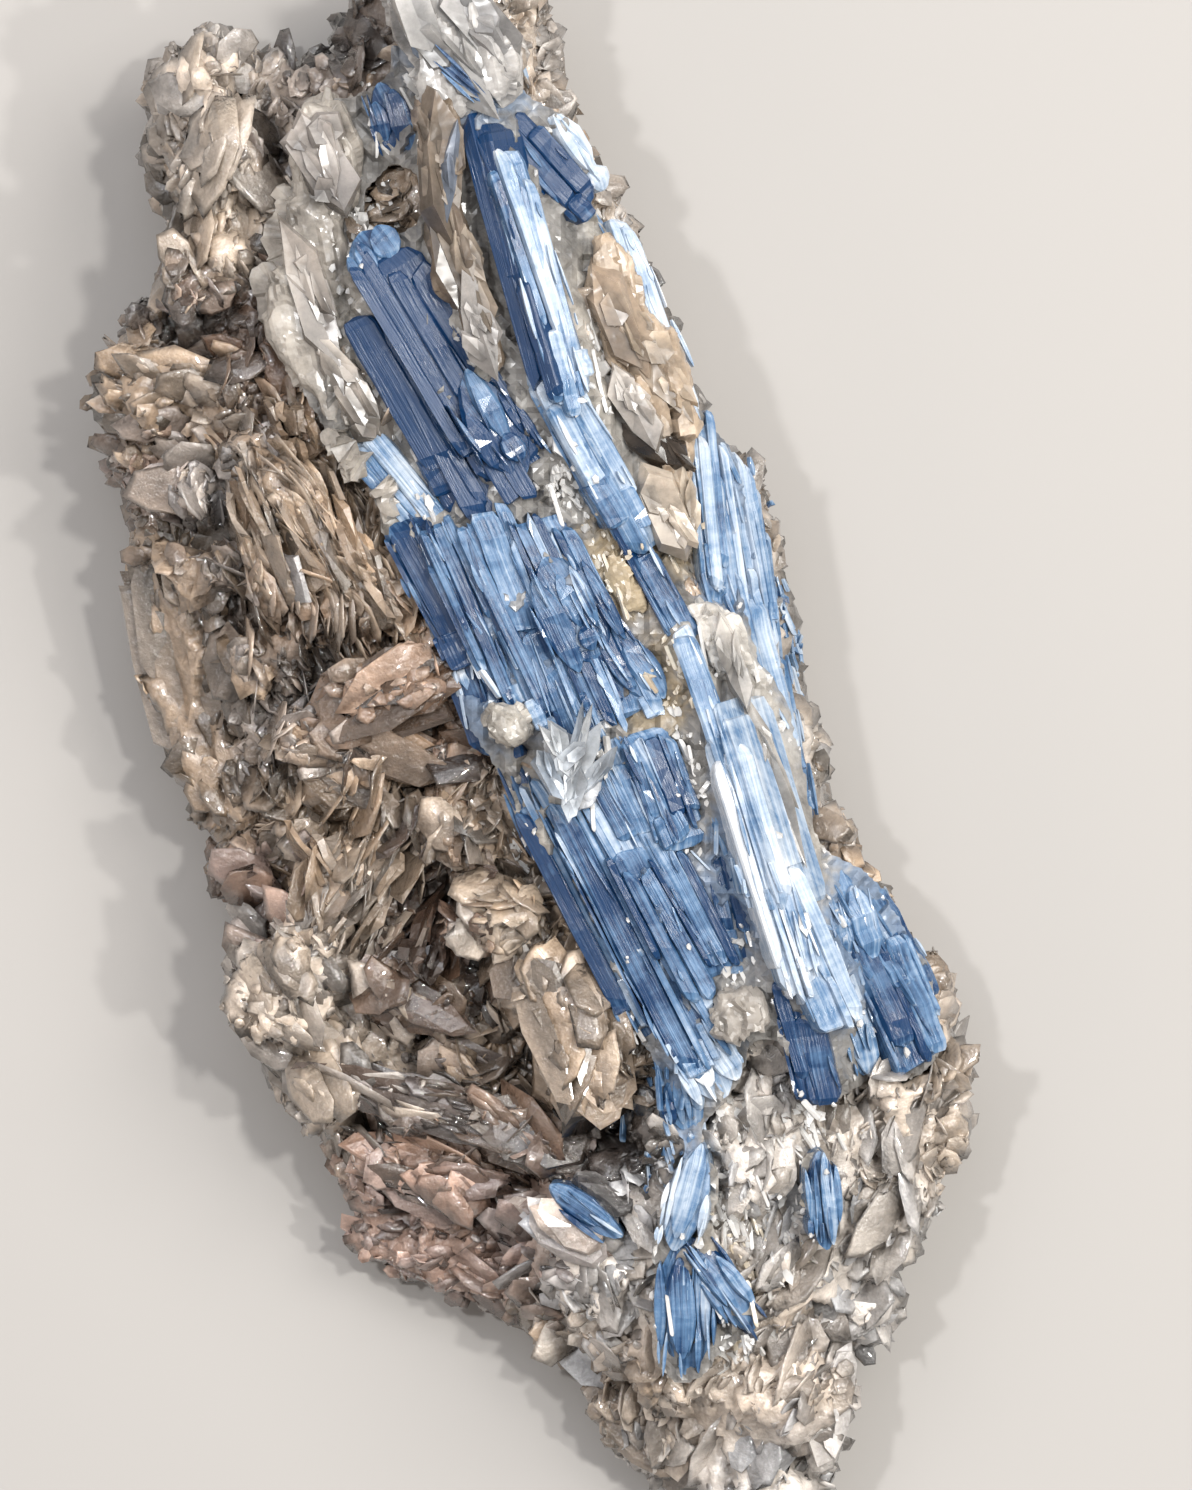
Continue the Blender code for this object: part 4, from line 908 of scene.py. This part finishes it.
# Blades: upper and lower end of the top face as sheet x, y, z, then width, thickness, roll to the
# right in degrees, and paleness from -0.7, deep blue, to 1.0, frosted white. On the ridge the
# paleness is partly frost and partly a painted reflection of the light.
BLADES = {
    "kyanite_main": [
        (-18.8, 50.5, 32.2, -3.2, 25.4, 32.0, 7.4, 6, 0, -0.62),
        (-9.4, 37.2, 33.4, -3.2, 26.6, 32.8, 6.6, 5, 8, -0.05),
        (-20.4, 42.4, 30.2, -9.0, 21.4, 29.6, 3.2, 6, -16, -0.56),
        (-18.4, 42.8, 30.9, -7.0, 21.2, 30.2, 2.8, 6, 0, -0.66),
        (-16.6, 41.0, 30.4, -5.0, 21.6, 30.4, 2.8, 6, 14, -0.60),
        (-21.4, 32.0, 28.0, -10.8, 19.4, 28.0, 4.6, 5, -8, 0.30),
        (-9.3, 63.7, 35.6, -1.5, 34.0, 36.2, 3.2, 7, -34, -0.52),
        (-3.4, 38.6, 34.6, 8.4, 17.6, 32.2, 3.6, 6, -24, 0.10),
        (-6.0, 61.0, 36.4, 2.6, 32.0, 35.8, 4.6, 7, 16, 0.60),
        (-1.4, 38.0, 35.2, 7.8, 20.4, 32.8, 4.4, 6, 12, 0.38),
        (-16.4, 23.4, 29.0, -9.0, 8.4, 29.0, 5.4, 6, -14, 0.05),
        (-13.0, 23.0, 30.6, -4.2, 4.2, 30.4, 5.2, 6, -4, 0.12),
        (-8.4, 24.0, 31.6, 1.2, 0.4, 31.0, 6.0, 6, 2, 0.15),
        (-3.4, 24.0, 32.0, 7.2, 1.0, 31.6, 7.0, 6, 4, 0.10),
        (-1.6, 19.0, 33.2, 4.0, 7.8, 32.8, 7.6, 5, 0, 0.12),
        (-12.2, 14.0, 28.0, -6.0, -2.4, 27.6, 4.6, 6, -26, -0.15),
        (4.2, 13.0, 32.2, 10.0, 4.0, 31.8, 4.4, 5, 10, 0.25),
        (-1.0, 7.0, 31.4, 4.4, -5.4, 31.0, 5.6, 6, -4, 0.28),
        (-3.6, -3.4, 29.0, 10.6, -30.6, 28.2, 6.0, 6, -18, 0.20),
        (0.6, -4.4, 31.2, 15.2, -32.0, 29.6, 7.0, 6, -4, 0.28),
        (7.2, -8.6, 31.8, 15.8, -24.4, 30.8, 7.6, 6, 4, 0.20),
        (4.0, 1.2, 32.0, 10.2, -11.4, 31.8, 7.0, 6, -6, 0.18),
        (8.0, 2.4, 32.4, 13.2, -11.2, 32.0, 5.4, 6, 10, 0.12),
        (-5.4, -1.6, 27.8, -1.0, -12.6, 27.0, 3.6, 6, -28, 0.05),
        (16.2, -9.6, 30.8, 19.2, -22.4, 29.6, 4.4, 6, -6, -0.18),
        (12.2, -27.6, 29.4, 16.8, -35.6, 28.0, 6.4, 5, 0, 0.45),
        (11.6, -33.0, 27.4, 12.8, -39.4, 25.6, 4.6, 5, -10, 0.42),
        # The next three blades lie on the pale ridge: their paleness is partly frost and partly a painted
        # reflection.
        (14.0, 5.2, 34.6, 21.2, -18.4, 34.6, 3.6, 8, -36, 0.58),
        (16.2, 1.6, 35.4, 25.2, -26.0, 34.2, 4.4, 8, 12, 0.66),
        (21.4, -12.4, 33.8, 28.2, -28.0, 32.4, 5.2, 7, 20, 0.66),
        (23.0, -23.6, 31.6, 26.4, -37.0, 29.8, 4.6, 6, -4, -0.10),
        (11.6, 12.8, 33.6, 16.4, -1.0, 34.8, 2.4, 6, 0, 0.85),
        (6.2, 22.4, 31.6, 13.0, 9.4, 32.0, 3.0, 6, 0, 0.18),
        (-20.0, 51.4, 31.4, -17.2, 46.8, 32.0, 6.0, 3, 0, -0.14),
        # Thin blades that lie in the quartz and the mica beside the sheaf.
        (-13.5, 69.5, 35.4, -6.0, 62.6, 35.2, 1.8, 2, 0, 0.05),
        (-22.2, 21.0, 27.6, -19.6, 13.8, 26.6, 1.3, 2, 0, -0.05),
        (3.2, 54.0, 27.6, 9.4, 43.0, 27.6, 1.2, 2, 10, 0.55),
    ],
    "kyanite_right_edge": [
        (5.4, 54.4, 28.4, 14.2, 31.6, 28.2, 2.6, 5, 24, 1.0),
        (13.8, 34.0, 28.0, 16.2, 12.4, 27.6, 3.2, 6, 14, 0.27),
        (16.8, 30.4, 25.6, 20.4, 9.6, 25.2, 4.8, 7, 34, 0.44),
        (18.8, 26.6, 22.0, 21.8, 4.4, 21.6, 4.2, 7, 48, 0.37),
        (17.6, 18.6, 26.4, 23.4, -3.6, 24.8, 4.2, 7, 28, 0.34),
        (21.0, 11.4, 23.6, 25.2, -9.6, 21.8, 4.2, 7, 42, 0.32),
    ],
    "kyanite_right_foot": [
        (27.4, -11.4, 25.6, 31.0, -23.4, 24.0, 5.2, 7, 18, 0.22),
        (30.0, -13.4, 22.4, 37.4, -26.0, 20.4, 5.6, 7, 38, 0.12),
        (31.4, -19.0, 23.0, 37.6, -33.0, 20.4, 7.4, 7, 28, 0.20),
        (27.8, -22.4, 24.2, 31.0, -33.6, 22.6, 4.0, 7, 12, 0.40),
    ],
    "kyanite_tail": [
        (14.0, -40.0, 26.8, 11.2, -51.0, 26.2, 4.8, 5, -6, 0.56),
        (12.4, -48.4, 26.0, 12.6, -64.6, 23.6, 6.2, 5, -4, 0.30),
        (12.6, -48.6, 26.0, 20.4, -59.4, 24.0, 4.4, 5, 18, 0.12),
    ],
    "kyanite_lone_blade": [(26.0, -40.6, 27.4, 27.0, -51.0, 26.0, 3.8, 5, 6, 0.24)],
    "kyanite_corner_blade": [(-1.4, -44.4, 22.6, 6.4, -49.6, 22.8, 3.2, 5, -6, 0.22)],
    "kyanite_crown_blade": [
        (-5.6, 62.8, 32.4, 3.8, 52.8, 29.6, 4.6, 6, 18, -0.14),
        (-0.6, 63.4, 30.0, 4.8, 56.0, 27.4, 2.6, 6, 34, 0.9),
    ],
    "kyanite_left_crown": [(-18.4, 66.4, 28.6, -15.6, 58.4, 28.6, 4.6, 5, -10, 0.12)],
}
# Blades that stand clear of the sheaf narrow to both ends: the share of the length each end takes.
SPINDLES = {
    "kyanite_tail": 0.24, "kyanite_lone_blade": 0.2,
    "kyanite_corner_blade": 0.15, "kyanite_left_crown": 0.12,
}
kyanite = kyanite_material()
for group, (node, rows) in enumerate(BLADES.items()):
    sheaf = Heap()
    sheaf_draw = random.Random(300 + group)
    for row in rows:
        add_blade(sheaf, row, sheaf_draw, SPINDLES.get(node, BLUNT_TAPER))
    piece = sheaf.build(f"{node}_laths", kyanite)
    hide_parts(node)

# The glassier quartz splits into flat angular shards, which lie along the grain of the kyanite.
# Each row: upper and lower end as sheet x, y, z, then width, thickness, roll to the right, colour.
SHARDS = [
    (-12.3, 63.6, 35.8, -10.8, 51.0, 35.6, 4.4, 3, 24, "#9A8B7C"),
    (-13.6, 60.0, 35.0, -9.6, 44.0, 34.8, 3.0, 3, -30, "#7E7063"),
    (-11.4, 54.0, 35.6, -7.4, 42.0, 35.2, 3.6, 3, 14, "#A89989"),
    (-9.4, 46.0, 35.9, -6.6, 37.4, 35.0, 3.4, 3, 6, "#BDB7B2"),
    (-10.4, 61.0, 36.5, -11.2, 53.0, 36.1, 1.8, 2, 20, "#8A93A2"),
    (-16.4, 77.0, 34.8, -7.4, 64.0, 34.4, 5.4, 3, 10, "#AFACA9"),
    (-11.6, 77.0, 34.6, -4.0, 67.0, 33.8, 4.8, 3, 0, "#A6A3A1"),
    (0.6, -5.4, 33.6, 3.8, 1.6, 34.4, 1.9, 1, 0, "#DDE3EA"),
    (0.8, -5.0, 33.8, 1.9, 2.8, 34.5, 1.3, 1, 12, "#C8D2DE"),
    (1.2, -3.6, 34.0, -0.6, 2.2, 34.3, 2.1, 1, -14, "#E6EBF0"),
    (0.4, -5.6, 33.8, -2.4, -0.4, 33.9, 1.6, 1, -18, "#C0CBD8"),
    (1.8, -5.0, 33.7, 4.9, -0.8, 34.1, 1.8, 1, 20, "#D3DAE2"),
    (1.6, -1.8, 34.3, 3.0, 3.4, 34.6, 1.0, 1, -8, "#EEF1F4"),
    (-0.4, -2.6, 34.1, 2.6, 0.4, 34.7, 1.6, 1, 6, "#DDE3EA"),
    (0.2, -1.2, 34.2, -1.8, 1.6, 34.4, 1.2, 1, -4, "#F0F2F4"),
    (1.0, -7.2, 33.2, 1.9, -2.8, 34.2, 2.2, 1, 4, "#D3DAE2"),
    (3.0, 48.0, 31.0, 8.6, 37.0, 31.2, 4.2, 2, -14, "#C4AE98"),
    (6.0, 44.0, 30.8, 12.6, 33.0, 30.8, 4.4, 2, 16, "#D5C1AA"),
    (5.4, 37.4, 31.4, 9.6, 29.4, 31.2, 3.6, 2, -8, "#E2D8CE"),
    (7.6, 32.0, 31.0, 13.2, 27.4, 30.2, 3.0, 2, 20, "#4E443C"),
    (8.6, 27.6, 31.2, 12.6, 19.0, 30.6, 3.8, 2, 6, "#E4D4C2"),
    (12.2, 29.0, 30.2, 13.4, 20.0, 29.8, 2.2, 2, 24, "#CFBFAC"),
    (-25.8, 63.0, 28.8, -21.6, 53.4, 28.8, 5.6, 2, 0, "#C2B9B2"),
    (-27.4, 51.0, 28.6, -22.4, 39.0, 28.8, 4.4, 2, 0, "#BAB0A7"),
    (-23.6, 41.0, 28.8, -17.4, 30.0, 28.6, 4.0, 2, 8, "#C2B8AE"),
    (18.6, 4.0, 31.6, 23.8, -10.0, 30.8, 2.6, 2, 0, "#CDC7C0"),
    (16.0, 12.8, 33.0, 18.6, 3.6, 33.2, 2.4, 2, 0, "#D4CEC7"),
]
SPLITS = [leaf_shape(seed, 6, 0.32, 0.5) for seed in range(120, 134)]
shard_heap = Heap()
shard_draw = random.Random(350)
for x0, y0, z0, x1, y1, z1, width, thick, roll, shade in SHARDS:
    length, heading, tilt = line_between(x0, y0, z0, x1, y1, z1)
    base = pose((x0 + x1) / 2, (y0 + y1) / 2, (z0 + z1) / 2, heading, tilt, -roll)
    tone = np.array(linear(shade)[:3])
    shard_heap.add(shard_draw.choice(SPLITS), (width * 1.1, length * 1.1, thick), base, colour=tone)
    for _ in range(min(7, int(width * length / 6))):
        size = (width * shard_draw.uniform(0.3, 0.7), length * shard_draw.uniform(0.2, 0.6), 0.9)
        across, along = (shard_draw.uniform(-0.3, 0.3) * side for side in (width, length))
        spot = base @ shifted(across, along, shard_draw.uniform(0.1, 0.4))
        spot = spot @ turned(shard_draw.gauss(0, 8), shard_draw.gauss(0, 4), shard_draw.gauss(0, 13))
        own = tone * shard_draw.lognormvariate(0.05, 0.2)
        shard_heap.add(shard_draw.choice(SPLITS), size, spot, colour=own)
shard_heap.build("quartz_shards", glassy_quartz)

# Where blades lie side by side, clouded quartz has filled the seams between them almost to the
# top. The filling is one sheet, broken into small tilted facets and closed underneath.
CRUST_STEP = 0.55
CRUST_REGION = (-26.0, 40.0, -66.0, 70.0)
CRUST_SINK = 1.1
CRUST_DEPTH = 2.5
# Where it stands higher: x, y, half width, half height, rise.
FILLED = [
    (-24.0, 42.0, 2.4, 7.0, 0.8), (5.6, -27.0, 2.0, 8.0, 0.6), (20.0, 2.0, 3.0, 10.0, 0.8),
]
CRUST_TONES = {"white": "#C9C3BA", "clear": "#A3A09C", "honey": "#B7A588", "frost": "#8EA3BE"}
crystal_map = height_map(crystals)
top_map = np.maximum(face_heights, crystal_map)
crystal_share = blurred((crystal_map > 1.0).astype(float), 6)
bridge_map = blurred(np.where(crystal_map > 1.0, crystal_map, 0.0), 6) / np.maximum(crystal_share, 0.05)
covered = (crystal_share > 0.42) & (bridge_map - CRUST_SINK > face_heights - 0.6)
crust_map = blurred(covered.astype(float), 2)
left, right, bottom, top = CRUST_REGION
crust_bm = bmesh.new()
across_steps = int((right - left) / CRUST_STEP)
along_steps = int((top - bottom) / CRUST_STEP)
bmesh.ops.create_grid(crust_bm, x_segments=across_steps, y_segments=along_steps, size=0.5)
flat = np.array([v.co for v in crust_bm.verts])
flat /= flat[:, :2].max(0).tolist() + [1.0]
flat = (flat + 1.0) / 2.0 * np.array([right - left, top - bottom, 0.0]) + np.array([left, bottom, 0.0])
spread_out = ((flat - np.array([*SHEET_MIDDLE, 0.0])) @ np.array(sheet_turn).T) * MM
lumps = broken(spread_out, 2.0, 0.5, 0.30, 91, (0.8, 1.8, 1.0)) + broken(spread_out, 0.9, 0.15, 0.25, 92)
rise = sum(patch[4] * nearness(flat[:, 0], flat[:, 1], patch) for patch in FILLED)
spread_out[:, 2] = (map_value(bridge_map, spread_out) - CRUST_SINK + rise) * MM + lumps
empty = map_value(crust_map, spread_out) < 0.4
for corner, spot in zip(crust_bm.verts, spread_out):
    corner.co = spot
gone = [corner for corner, none_here in zip(crust_bm.verts, empty) if none_here]
bmesh.ops.delete(crust_bm, geom=gone, context="VERTS")
bmesh.ops.delete(crust_bm, geom=[v for v in crust_bm.verts if not v.link_faces], context="VERTS")
for _ in range(3):
    smoothed(crust_bm, [v for v in crust_bm.verts if v.is_boundary], 0.6)
grown = bmesh.ops.extrude_face_region(crust_bm, geom=crust_bm.faces[:], use_keep_orig=True)
underside = [v for v in grown["geom"] if isinstance(v, bmesh.types.BMVert)]
bmesh.ops.translate(crust_bm, verts=underside, vec=(0.0, 0.0, -CRUST_DEPTH * MM))
bmesh.ops.recalc_face_normals(crust_bm, faces=crust_bm.faces)
bmesh.ops.triangulate(crust_bm, faces=crust_bm.faces)
crust_points, crust_faces = as_arrays(crust_bm)

# Crumbs of quartz and bruised kyanite are stuck in the seams between the blades and along their
# ends: sharp chips and needles a millimetre or two long, whitish and half clear.
# Each row: x, y, half width, half height, count, kind, heading of the needles.
CRUMBS = [
    (-22, 44, 2.4, 6.0, 30, "white", 158), (-18, 35, 2.0, 6.0, 30, "white", 158),
    (1, 26.5, 3.4, 5.0, 110, "clear", 158), (5.8, 17.5, 2.6, 6.0, 90, "honey", 160),
    (3.0, -1.5, 3.0, 4.2, 130, "white", 170), (8.8, 5.5, 3.4, 4.4, 110, "honey", 150),
    (12.6, -5, 2.6, 6.6, 110, "clear", 160), (15.4, 10.4, 2.8, 3.6, 90, "white", 165),
    (21.2, 1.5, 2.4, 9.0, 150, "white", 164), (16.6, -21.5, 2.4, 3.0, 60, "clear", 160),
    (10.6, -38.0, 3.4, 5.4, 150, "frost", 175), (20, -38.6, 6.0, 4.4, 210, "clear", 150),
    (30, -19.5, 4.4, 6.4, 60, "frost", 155), (34, -28, 4.4, 4.2, 50, "clear", 150),
    (15.4, -49, 2.8, 5.8, 50, "clear", 175), (3.0, 35, 2.0, 9.0, 110, "white", 164),
    (-3.6, 58, 2.2, 4.6, 16, "clear", 160), (6.4, 44, 3.0, 9.4, 160, "white", 160),
    (-14, 24.4, 2.2, 5.0, 110, "white", 150), (-17, 64, 4.0, 4.4, 50, "clear", 165),
    (-19, 53.4, 3.6, 3.6, 110, "clear", 165), (-9.4, 38, 1.6, 7.6, 70, "white", 160),
    (-3.0, -9.0, 1.8, 5.0, 90, "white", 155), (5.6, -25.4, 2.2, 7.4, 150, "white", 150),
    (16.8, 20, 2.2, 9.0, 110, "frost", 165), (25.6, -37.4, 4.0, 3.4, 110, "clear", 150),
    (12, 24, 2.4, 5.0, 80, "honey", 165), (24.6, -13, 2.0, 5.0, 70, "white", 160),
    (23.4, 17, 1.8, 13.0, 260, "frost", 165), (21, -46, 5.0, 8.0, 260, "white", 170),
    (19, -52, 5.0, 6.0, 120, "honey", 160), (9, -55, 4.0, 5.0, 40, "clear", 170),
    (18, -60, 4.0, 5.0, 90, "clear", 160), (-9, 68, 6.0, 5.0, 16, "frost", 150),
    (-8.2, 8, 3.0, 6.0, 60, "frost", 155), (2.4, 8, 5.0, 6.0, 50, "frost", 157),
    (9.6, -16, 4.0, 8.0, 30, "frost", 155), (18.6, -10, 3.0, 9.0, 60, "frost", 162),
]
crumb_tones = np.array([linear(CRUST_TONES[kind])[:3] for kind in [row[5] for row in CRUMBS] + ["clear"]])
crust_draw = np.random.default_rng(93)
crust_spots = sheet_of(crust_points)[:, :2] + crust_draw.normal(0.0, 0.7, (len(crust_points), 2))
crust_tones = blended(crust_spots, CRUMBS, np.ones(len(CRUMBS)), crumb_tones, 0.16)
crust = joined_mesh("quartz_seams", crust_points, crust_faces, clouded_quartz, colours=crust_tones)
crust_tree = BVHTree.FromPolygons([Vector(p) for p in crust_points], crust_faces.tolist())

CHIPS = [leaf_shape(seed, 5, 0.30, 0.3) for seed in range(100, 114)]
crumb_materials = {"clear": "quartz", "white": "quartz", "honey": "honey_quartz", "frost": "kyanite"}
crumb_heaps = {slot: Heap() for slot in ("quartz", "honey_quartz", "kyanite")}
crumb_draw = random.Random(71)
seam_map = blurred(top_map, 7) - top_map
CRUMB_LIFT = 0.3
straight_down = Vector((0.0, 0.0, -1.0))
for x, y, half_x, half_y, count, kind, heading in CRUMBS:
    for _ in range(count):
        here = place(x + crumb_draw.gauss(0, 0.5) * half_x, y + crumb_draw.gauss(0, 0.5) * half_y, 90.0)
        seam = seam_map[int((here.x / MM - MAP_X[0]) / MAP_STEP), int((here.y / MM - MAP_Y[0]) / MAP_STEP)]
        if crumb_draw.random() > 0.03 + 0.5 * max(seam, 0.0):
            continue
        landed = [tree.ray_cast(here, straight_down)[0] for tree in (crystals, skin_tree, crust_tree)]
        tops = [hit.z for hit in landed if hit]
        if not tops:
            continue
        here.z = max(tops) + crumb_draw.uniform(-0.25, 0.2) * MM
        needle = crumb_draw.random() < (0.6 if kind == "frost" else 0.15)
        heading_now = heading + crumb_draw.gauss(0, 9 if needle else 30)
        tilt = crumb_draw.gauss(0, 5 if needle else 14)
        spot = Matrix.Translation(here) @ turned(SHEET_ANGLE - heading_now, tilt, crumb_draw.gauss(0, 24))
        if needle:
            shape = crumb_draw.choice(LATH_SHAPES)
            size = (crumb_draw.uniform(0.18, 0.5), crumb_draw.uniform(1.4, 5.0), crumb_draw.uniform(0.3, 0.7))
        else:
            across = crumb_draw.lognormvariate(-0.6, 0.42)
            shape = crumb_draw.choice(CHIPS)
            size = (across, across * crumb_draw.uniform(1.0, 2.0), crumb_draw.uniform(0.2, 0.6))
        spot = spot @ shifted(0.0, -size[1] / 2 if needle else 0.0, CRUMB_LIFT)
        crumb_heaps[crumb_materials[kind]].add(shape, size, spot, tint=crumb_draw.gauss(0.62, 0.15))
crumb_looks = {"quartz": milky_quartz, "honey_quartz": stained_quartz, "kyanite": kyanite}
for slot, heap in crumb_heaps.items():
    heap.build(f"crumbs_of_{slot}", crumb_looks[slot])
